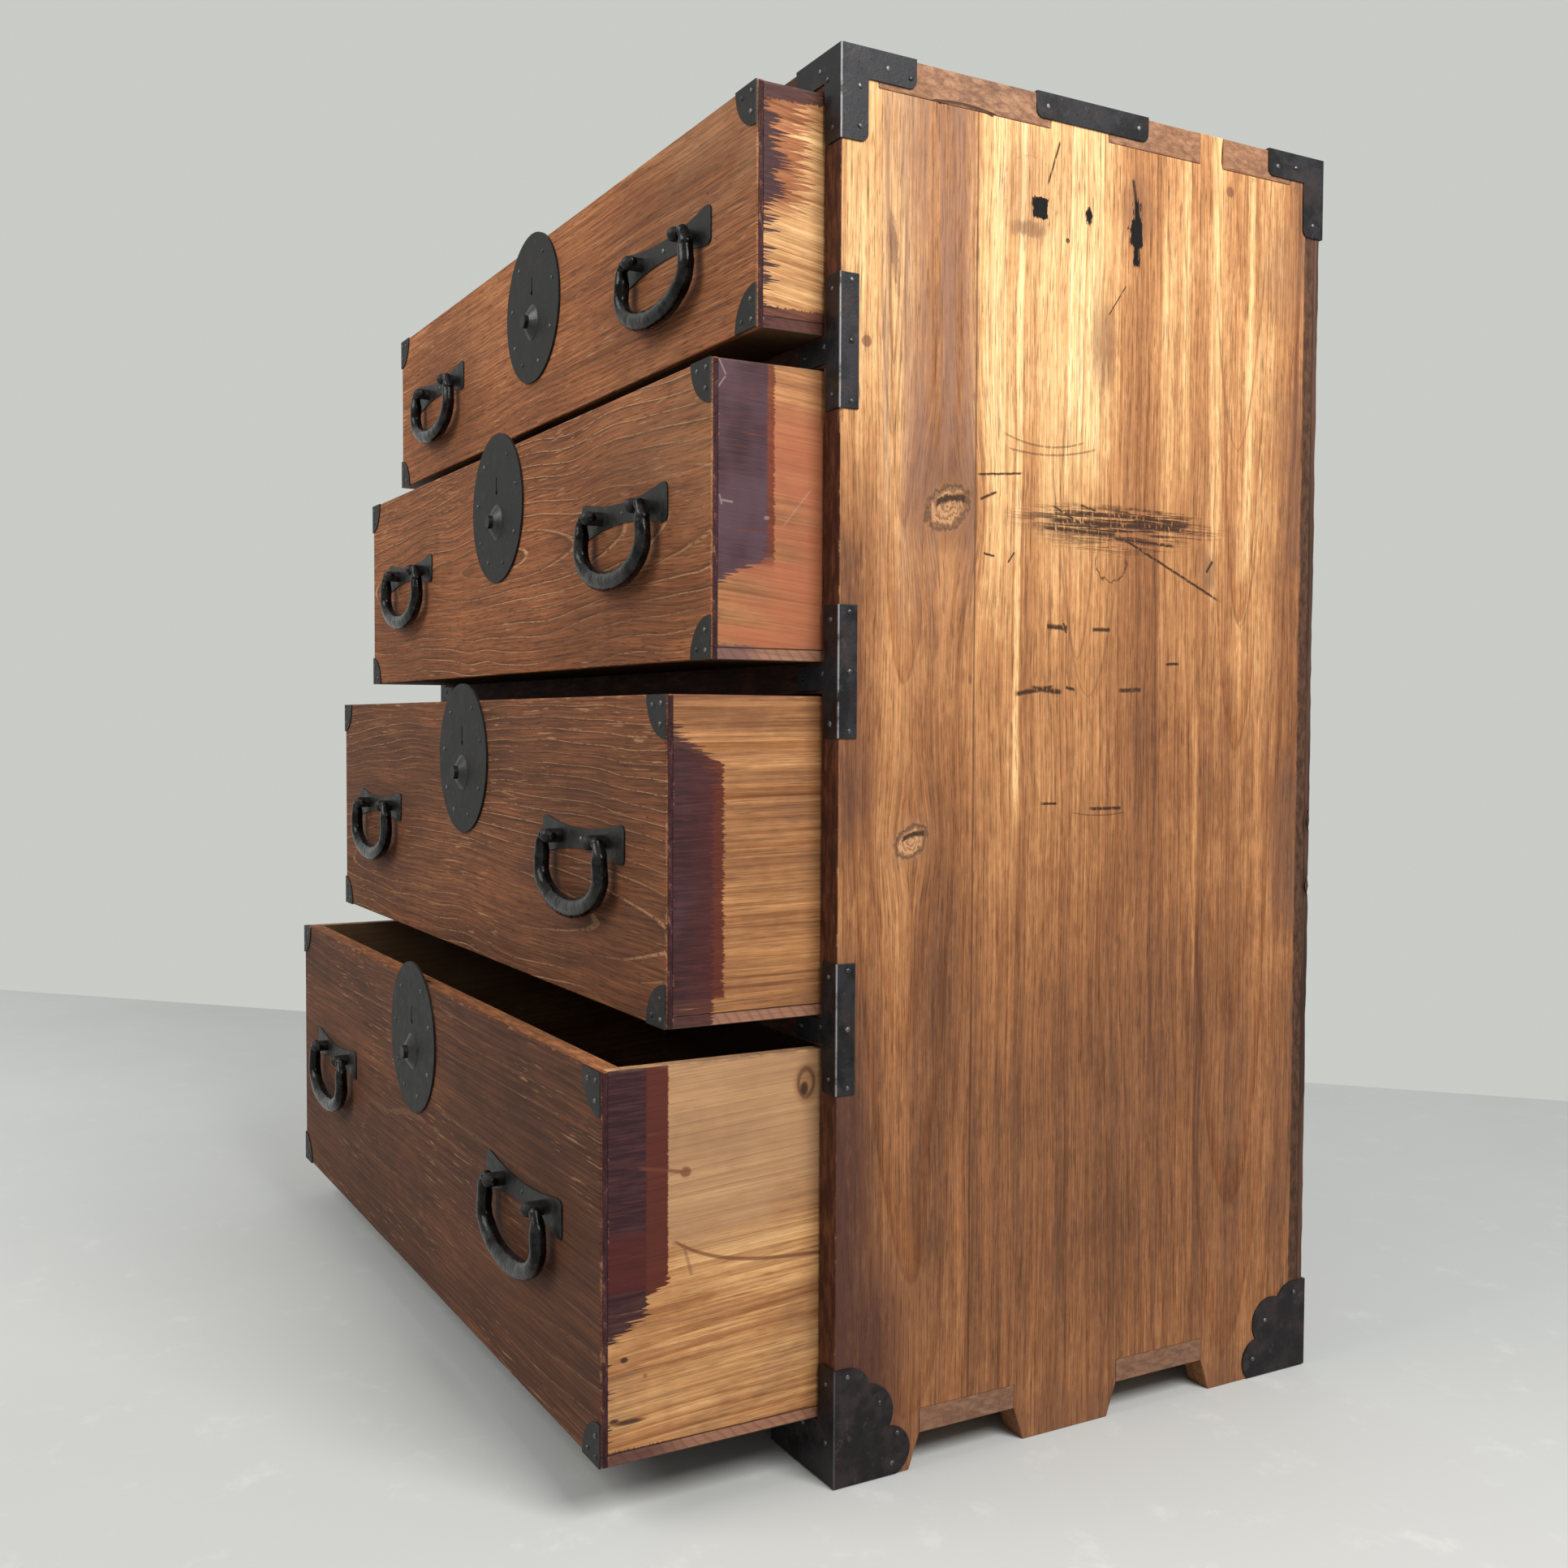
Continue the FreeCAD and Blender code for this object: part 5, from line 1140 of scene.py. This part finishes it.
def forged_nails(node, material, settings, seed):
    """The nails of one node as forged heads, standing for that node."""
    places = nail_places(node)
    points = bpy.data.meshes.new(f"{node}_points")
    centres = [point - outward * settings.nail_rise for point, outward in places]
    points.from_pydata([tuple(c) for c in centres], [], [])
    store = points.attributes.new("outward", "FLOAT_VECTOR", "POINT")
    for item, (_, outward) in zip(store.data, places):
        item.vector = outward
    holder = mesh_object(f"{node}_holder", points, material)
    group, radius, height = nail_head_nodes(material, seed)
    modifier = holder.modifiers.new("heads", "NODES")
    modifier.node_group = group
    modifier[radius] = settings.nail_radius
    modifier[height] = settings.nail_rise
    shown = holder.evaluated_get(bpy.context.evaluated_depsgraph_get())
    mesh = bpy.data.meshes.new_from_object(shown)
    holder.modifiers.remove(modifier)
    bpy.data.objects.remove(holder)
    mesh.name = f"{node}_heads"
    mesh.shade_smooth()
    return stand_for(node, mesh, material)


def dress(node, material):
    """Gives a node of the frame its material, leaving its shape as it is."""
    shown = frame["nodes"][node]
    shown.data.materials.clear()
    shown.data.materials.append(material)


# ---------------------------------------------------------------- settings


def colour_property(name, description, *default):
    return bpy.props.FloatVectorProperty(
        name=name, description=description, subtype="COLOR", size=3, min=0, max=1, default=default
    )


def length_property(name, description, usual, least, most):
    """A length given in millimetres."""
    span = {"default": usual * MM, "min": least * MM, "max": most * MM}
    return bpy.props.FloatProperty(name=name, description=description, unit="LENGTH", **span)


class TansuWood(bpy.types.PropertyGroup):
    """Colours of the boards and of the old lacquer."""

    side_light: colour_property("Side light", "Bleached streaks of the sides", 0.88, 0.60, 0.315)
    side_gold: colour_property("Side gold", "Palest wood there", 0.74, 0.435, 0.195)
    side_brown: colour_property("Side brown", "Usual wood there", 0.48, 0.226, 0.090)
    side_shade: colour_property("Side shade", "Darker bands there", 0.285, 0.118, 0.047)
    side_dark: colour_property("Side dark", "Darkest bands there", 0.150, 0.064, 0.031)
    bloom: colour_property("Bloom", "Violet-grey bloom of the front plank", 0.25, 0.140, 0.098)
    grime: colour_property("Grime", "Handling dirt and smoke", 0.125, 0.064, 0.042)
    stile: colour_property("Stile", "Lacquer of the front edges", 0.050, 0.016, 0.010)
    stile_worn: colour_property("Stile worn", "The same, worn thin", 0.130, 0.046, 0.022)
    # painted shade on the faces inside the carcass and the drawers
    inside: colour_property("Inside", "Wood inside the carcass", 0.060, 0.032, 0.018)
    end_dark: colour_property("End grain dark", "Joint fingers, dark", 0.150, 0.072, 0.042)
    end_pale: colour_property("End grain pale", "Joint fingers, pale", 0.37, 0.195, 0.108)
    back_pale: colour_property("Back pale", "Back panel and foot blocks", 0.085, 0.040, 0.023)
    back_mid: colour_property("Back mid", "The same, darker", 0.034, 0.016, 0.010)
    top_pale: colour_property("Top pale", "Top board, pale", 0.44, 0.235, 0.105)
    top_mid: colour_property("Top mid", "Top board, middle", 0.31, 0.155, 0.068)
    front_light: colour_property("Front light", "Palest bands of the fronts", 0.52, 0.215, 0.088)
    front_brown: colour_property("Front brown", "Stained drawer fronts", 0.320, 0.112, 0.042)
    front_dark: colour_property("Front dark", "Darker stain", 0.150, 0.055, 0.024)
    front_deep: colour_property("Front deep", "Grain lines of the fronts", 0.062, 0.023, 0.012)
    front_ridge: colour_property("Front ridge", "Raised grain rubbed bare", 0.60, 0.32, 0.155)
    drawer_light: colour_property("Drawer light", "Palest bands of the sides", 0.84, 0.54, 0.26)
    drawer_pale: colour_property("Drawer pale", "Bare drawer wood", 0.60, 0.335, 0.140)
    drawer_mid: colour_property("Drawer mid", "Bare drawer wood, darker", 0.40, 0.185, 0.072)
    drawer_dark: colour_property("Drawer dark", "Its grain lines", 0.21, 0.088, 0.036)
    drawer_red: colour_property("Drawer red", "Stained wood of the second", 0.34, 0.098, 0.046)
    # also laid as a pale painted sheen on the right ends of the upper drawer fronts
    drawer_dust: colour_property("Drawer dust", "Dulled wood of the lowest", 0.36, 0.215, 0.115)
    smoke: colour_property("Smoke", "Smoked lower corners of the sides", 0.070, 0.028, 0.020)
    strip_dark: colour_property("Strip dark", "Edge of the drawer bottom", 0.14, 0.060, 0.038)
    strip_pale: colour_property("Strip pale", "The same, pale", 0.38, 0.185, 0.110)
    plum: colour_property("Plum", "Old lacquer on the drawer sides", 0.024, 0.008, 0.010)
    plum_worn: colour_property("Plum worn", "The same, thin", 0.056, 0.019, 0.021)
    plum_grey: colour_property("Plum grey", "The same, bloomed", 0.082, 0.043, 0.056)
    plum_red: colour_property("Plum red", "The same, where it is reddest", 0.066, 0.012, 0.009)
    wash: colour_property("Wash", "Thin lacquer over the wood", 0.62, 0.40, 0.33)
    drip: colour_property("Drip", "Run of stain", 0.120, 0.034, 0.018)
    wear: length_property("Edge wear", "Rounding of the boards' long edges", 0.9, 0.1, 3)


class TansuIron(bpy.types.PropertyGroup):
    """Finish and sizes of the ironwork."""

    sheet: colour_property("Sheet iron", "Corner and edge irons", 0.006, 0.0055, 0.0065)
    sheet_pale: colour_property("Sheet iron pale", "The same, rubbed", 0.019, 0.0175, 0.020)
    foot: colour_property("Foot iron", "Irons on the feet", 0.007, 0.005, 0.006)
    foot_pale: colour_property("Foot iron pale", "The same, rubbed", 0.028, 0.019, 0.021)
    plate: colour_property("Lock plate", "Round lock plates", 0.009, 0.0085, 0.008)
    plate_pale: colour_property("Lock plate pale", "The same, rubbed", 0.020, 0.019, 0.018)
    forged: colour_property("Forged iron", "Bails and posts", 0.007, 0.0067, 0.0066)
    forged_pale: colour_property("Forged pale", "The same, rubbed", 0.030, 0.029, 0.029)
    nail: colour_property("Nail iron", "Nail heads", 0.035, 0.035, 0.037)
    nail_pale: colour_property("Nail pale", "The same, rubbed", 0.17, 0.17, 0.17)
    fold: length_property("Fold rounding", "Rounding of the sheet irons' folds", 0.45, 0.1, 1)
    nail_radius: length_property("Nail head", "Radius of a forged nail head", 2.2, 1, 4)
    nail_rise: length_property("Nail rise", "Height of a nail head over its iron", 1.1, 0.3, 2)
    swell: length_property("Swell", "How much a bail's grip is thicker than its ends", 1.5, 0, 2)
    hammering: length_property("Hammering", "Depth of the bails' hammer facets", 0.5, 0, 2)


class TansuStage(bpy.types.PropertyGroup):
    """Floor, backdrop, lamps and camera."""

    floor: colour_property("Floor", "Pale floor", 0.63, 0.635, 0.61)
    backdrop: colour_property("Backdrop", "Pale wall colour seen behind", 0.585, 0.60, 0.57)
    camera_place: bpy.props.FloatVectorProperty(
        name="Camera place",
        description="Where the camera stands",
        subtype="TRANSLATION",
        unit="LENGTH",
        default=(1.3919, -0.7968, 0.5376),
    )
    camera_turn: bpy.props.FloatVectorProperty(
        name="Camera turn",
        description="Yaw from -X towards +Y, pitch down, and roll",
        unit="ROTATION",
        default=[math.radians(angle) for angle in (29.226, 2.163, 0.249)],
    )
    lens: bpy.props.FloatProperty(
        name="Lens",
        description="Focal length in mm on a frame 36 mm wide",
        default=36.41,
        min=10,
        max=200,
    )


def wood_colours(settings):
    names = [name for name in TansuWood.__annotations__ if name != "wear"]
    return {name: tuple(getattr(settings, name)) for name in names}


def tones_of(settings, name):
    """An iron's dark and rubbed colours."""
    return tuple(getattr(settings, name)), tuple(getattr(settings, f"{name}_pale"))


# ---------------------------------------------------------------- operators


# name, place, the point it is aimed at, the side of its square and its power in watts
LAMPS = (
    ("side_lamp", (2.0, 0.10, 2.0), (0.45, -0.05, 0.80), 1.1, 66),
    ("front_lamp", (-0.3, -3.0, 2.7), (0, -0.3, 0.7), 2.0, 74),
)
# the far edge of the floor follows the foot of the wall behind the chest
FLOOR_LEFT = Vector((-2.126, -0.624, 0))
FLOOR_RIGHT = Vector((-0.034, 1.294, 0))
FLOOR_PAST, FLOOR_DEPTH = 6, 9


class TANSU_OT_stage(bpy.types.Operator):
    """Lays the pale floor and sets up lamps, background and camera"""

    bl_idname = "tansu.stage"
    bl_label = "Stage"

    def execute(self, context):
        settings = context.scene.tansu_stage
        self.floor(settings.floor)
        self.world(context.scene, settings.backdrop)
        for lamp in LAMPS:
            self.lamp(context.scene, *lamp)
        self.camera(context.scene, settings)
        return {"FINISHED"}

    def floor(self, pale):
        net = Net("pale_floor")

        def shade(factor):
            return [min(1, part * factor) for part in pale]

        cloud = net.noise(net.place, 4, 0.6, 1.4)
        net.base = net.mix(cloud.rise(0.3, 0.75), pale, shade(0.93))
        # the floor near the side lamp is a shade darker, so that it reads as even
        net.lay((net.x - net.y * 0.4).rise(-1.2, 1.4), shade(0.68))
        net.lay(net.noise(net.place, 5, 0.7, 18).rise(0.55, 0.75) * 0.18, shade(1.25))
        material = net.finish(0.72 + cloud * 0.1, specular=0.25)
        along = (FLOOR_RIGHT - FLOOR_LEFT).normalized()
        near = Vector((along.y, -along.x, 0)) * FLOOR_DEPTH
        left, right = FLOOR_LEFT - along * FLOOR_PAST, FLOOR_RIGHT + along * FLOOR_PAST
        mesh = bpy.data.meshes.new("floor")
        mesh.from_pydata([left, left + near, right + near, right], [], [(0, 1, 2, 3)])
        mesh_object("floor", mesh, material)

    def world(self, scene, backdrop):
        """Soft daylight; the wall's colour shows to the camera and in what shines."""
        scene.world = bpy.data.worlds.new("studio")
        scene.world.use_nodes = True
        tree = Tree(scene.world.node_tree)
        background = "ShaderNodeBackground"
        lit = tree.node(background, inputs={"Color": (0.95, 0.98, 1.0), "Strength": 0.50})
        seen = tree.node(background, inputs={"Color": backdrop, "Strength": 1})
        camera = tree.node("ShaderNodeLightPath", output="Is Camera Ray")
        shining = camera.beside("Is Glossy Ray").most(camera.beside("Is Transmission Ray"))
        mixed = tree.node("ShaderNodeMixShader", inputs=[camera.most(shining), lit, seen])
        tree.node("ShaderNodeOutputWorld", inputs=[mixed])

    def lamp(self, scene, name, place, aim, size, power):
        data = bpy.data.lights.new(name, "AREA")
        data.shape = "SQUARE"
        data.size = size
        data.energy = power
        made = bpy.data.objects.new(name, data)
        scene.collection.objects.link(made)
        made.location = place
        direction = Vector(aim) - Vector(place)
        made.rotation_euler = direction.to_track_quat("-Z", "Y").to_euler()

    def camera(self, scene, settings):
        yaw, pitch, roll = settings.camera_turn
        flat = Vector((-math.cos(yaw), math.sin(yaw), 0))
        across = Vector((math.sin(yaw), math.cos(yaw), 0))
        forward = flat * math.cos(pitch) - Vector((0, 0, math.sin(pitch)))
        above = Vector((0, 0, math.cos(pitch))) + flat * math.sin(pitch)
        right = across * math.cos(roll) + above * math.sin(roll)
        up = above * math.cos(roll) - across * math.sin(roll)
        turn = Matrix((right, up, -forward)).transposed().to_4x4()
        data = bpy.data.cameras.new("camera")
        data.sensor_width = 36
        data.sensor_fit = "HORIZONTAL"
        data.lens = settings.lens
        made = bpy.data.objects.new("camera", data)
        scene.collection.objects.link(made)
        made.matrix_world = Matrix.Translation(settings.camera_place) @ turn
        scene.camera = made


class TANSU_OT_carcass_boards(bpy.types.Operator):
    """Gives the carcass boards worn edges and their wood"""

    bl_idname = "tansu.carcass_boards"
    bl_label = "Carcass boards"

    def execute(self, context):
        settings = context.scene.tansu_wood
        colours, wear = wood_colours(settings), settings.wear
        right = side_wood("side_wood_right", colours)
        left = side_wood("side_wood_left", colours, marked=False, seed=6.4)
        worn_copy("side_board_right", right, wear, ragged=0.6, along=[UP])
        worn_copy("side_board_left", left, wear, ragged=0.6, along=[UP])
        usual = ("top_pale", "top_mid", "side_dark")
        dull = ("back_pale", "back_mid", "grime")

        def level(name, heart, ring, warp, seed, **finish):
            """A board that lies flat, lacquered on its front edge."""
            grain = Grain(heart, ring, warp, seed)
            return plain_wood(name, colours, "xyz", usual, grain, lacquered=True, **finish)

        top = level("top_wood", (0.05, 0.9), 0.0075, 0.03, 2.2, fingers=True)
        worn_copy("top_board", top, wear, ragged=0.7, along=[DEEP])
        bottom = level("bottom_wood", (0.0, 0.1), 0.008, 0.03, 3.1, fingers=True)
        worn_copy("bottom_board", bottom, wear * 0.6)
        for index, name in enumerate(("shelf_upper", "shelf_middle", "shelf_lower")):
            shelf = level(f"{name}_wood", (0.02 * index, 0.2), 0.008, 0.02, 8.0 + index)
            worn_copy(name, shelf, wear * 0.6)
        upright = Grain((0.0, 0.9), 0.009, 0.03, 5.0)
        back = plain_wood("back_wood", colours, "zyx", dull, upright)
        worn_copy("back_panel", back, wear * 1.6, ragged=3.0, along=[UP])
        foot = plain_wood("foot_wood", colours, "xzy", dull, Grain((0.0, 0.1), 0.006, 0.01, 1.0))
        worn_copy("front_foot_blocks", foot, wear * 0.6)
        return {"FINISHED"}


class TANSU_OT_carcass_irons(bpy.types.Operator):
    """Gives the carcass irons rounded folds and their blackened skin"""

    bl_idname = "tansu.carcass_irons"
    bl_label = "Carcass irons"

    def execute(self, context):
        settings = context.scene.tansu_iron
        tones, feet = tones_of(settings, "sheet"), tones_of(settings, "foot")
        sheet = iron(
            "sheet_iron", tones, (0.40, 0.64), pitted=0.6, rust=0.22, metallic=0.35, foot=feet
        )
        for node in ("case_corner_irons", "case_edge_irons"):
            worn_copy(node, sheet, settings.fold, shortest=0.4 * MM)
        return {"FINISHED"}


class TANSU_OT_drawer_boards(bpy.types.Operator):
    """Gives every drawer its stained front and its lacquered, bare sides"""

    bl_idname = "tansu.drawer_boards"
    bl_label = "Drawer boards"

    def execute(self, context):
        settings = context.scene.tansu_wood
        colours, wear = wood_colours(settings), settings.wear
        for number in DRAWERS:
            bare = drawer_wood(number, colours)
            stained = front_wood(number, colours)
            worn_copy(f"drawer_{number}_front", stained, wear * 0.5, ragged=0.8, along=[UP])
            worn_copy(f"drawer_{number}_sides", bare, wear, ragged=0.5, along=[DEEP])
            worn_copy(f"drawer_{number}_back", bare, wear)
            worn_copy(f"drawer_{number}_bottom", bare, wear * 0.6)
        return {"FINISHED"}


class TANSU_OT_locks(bpy.types.Operator):
    """Gives the lock plates, buttons, bolts and drawer corners their iron"""

    bl_idname = "tansu.locks"
    bl_label = "Locks"

    def execute(self, context):
        settings = context.scene.tansu_iron
        tones = tones_of(settings, "plate")
        corner = iron("corner_iron", tones, (0.44, 0.62), scale=1.2, pitted=0.3, rust=0.15)
        forged = tones_of(settings, "forged")
        knob = iron("button_iron", forged, (0.40, 0.58), scale=1.4, rust=0.2)
        for number in DRAWERS:
            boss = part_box(f"drawer_{number}_front")[0].y - SHEET - 1 * MM
            skin = {"scale": 1.3, "pitted": 0.3, "metallic": 0.35, "boss": boss}
            plate = iron(f"lock_iron_{number}", tones, (0.50, 0.66), **skin)
            dress(f"drawer_{number}_lock", plate)
            dress(f"drawer_{number}_lock_button", knob)
            dress(f"drawer_{number}_lock_bolt", knob)
            dress(f"drawer_{number}_corner_irons", corner)
        return {"FINISHED"}


class TANSU_OT_handles(bpy.types.Operator):
    """Gives the handle plates, posts and bails their forged iron"""

    bl_idname = "tansu.handles"
    bl_label = "Handles"

    def execute(self, context):
        settings = context.scene.tansu_iron
        mount = iron("mount_iron", tones_of(settings, "plate"), (0.36, 0.56), scale=1.2)
        tones = tones_of(settings, "forged")
        forged = iron("forged_iron", tones, (0.14, 0.30), pitted=0.6, rust=0.08, metallic=0.75)
        for number in DRAWERS:
            dress(f"drawer_{number}_handle_mounts", mount)
            for side in ("right", "left"):
                node = f"drawer_{number}_bail_{side}"
                forged_copy(node, forged, settings.hammering, settings.swell, grip_of(node))
        return {"FINISHED"}


def grip_of(node):
    """How much of the forging a bail takes: none where it turns in its eyes, all in the grip."""
    low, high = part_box(node)

    def share(point):
        below = (high.z - point.z) / (high.z - low.z)
        return min(1, max(0, (below - 0.12) / 0.16))

    return share


class TANSU_OT_nails(bpy.types.Operator):
    """Sets a forged head on every nail of the frame"""

    bl_idname = "tansu.nails"
    bl_label = "Nails"

    def execute(self, context):
        settings = context.scene.tansu_iron
        tones = tones_of(settings, "nail")
        skin = iron("nail_iron", tones, (0.28, 0.50), scale=2.0, pitted=0.3, metallic=0.75)
        forged_nails("case_nails", skin, settings, 11)
        for number in DRAWERS:
            forged_nails(f"drawer_{number}_nails", skin, settings, 20 + number)
        return {"FINISHED"}


class TANSU_PT_panel(bpy.types.Panel):
    """Lists the chest's settings and pieces"""

    bl_idname = "TANSU_PT_panel"
    bl_label = "Tansu chest"
    bl_space_type = "VIEW_3D"
    bl_region_type = "UI"
    bl_category = "Tansu"

    def draw(self, context):
        for operator in OPERATORS:
            self.layout.operator(operator.bl_idname)
        for name, group in GROUPS.items():
            for setting in group.__annotations__:
                self.layout.prop(getattr(context.scene, name), setting)


GROUPS = {"tansu_wood": TansuWood, "tansu_iron": TansuIron, "tansu_stage": TansuStage}
OPERATORS = (
    TANSU_OT_stage,
    TANSU_OT_carcass_boards,
    TANSU_OT_carcass_irons,
    TANSU_OT_drawer_boards,
    TANSU_OT_locks,
    TANSU_OT_handles,
    TANSU_OT_nails,
)


def register():
    for group in (*GROUPS.values(), *OPERATORS, TANSU_PT_panel):
        bpy.utils.register_class(group)
    for name, group in GROUPS.items():
        setattr(bpy.types.Scene, name, bpy.props.PointerProperty(type=group))


def unregister():
    for name in GROUPS:
        delattr(bpy.types.Scene, name)
    for group in (TANSU_PT_panel, *reversed(OPERATORS), *GROUPS.values()):
        bpy.utils.unregister_class(group)


def main():
    register()
    bpy.context.scene.view_settings.view_transform = "Standard"
    for operator in OPERATORS:
        family, name = operator.bl_idname.split(".")
        getattr(getattr(bpy.ops, family), name)()


if __name__ == "__main__":
    main()
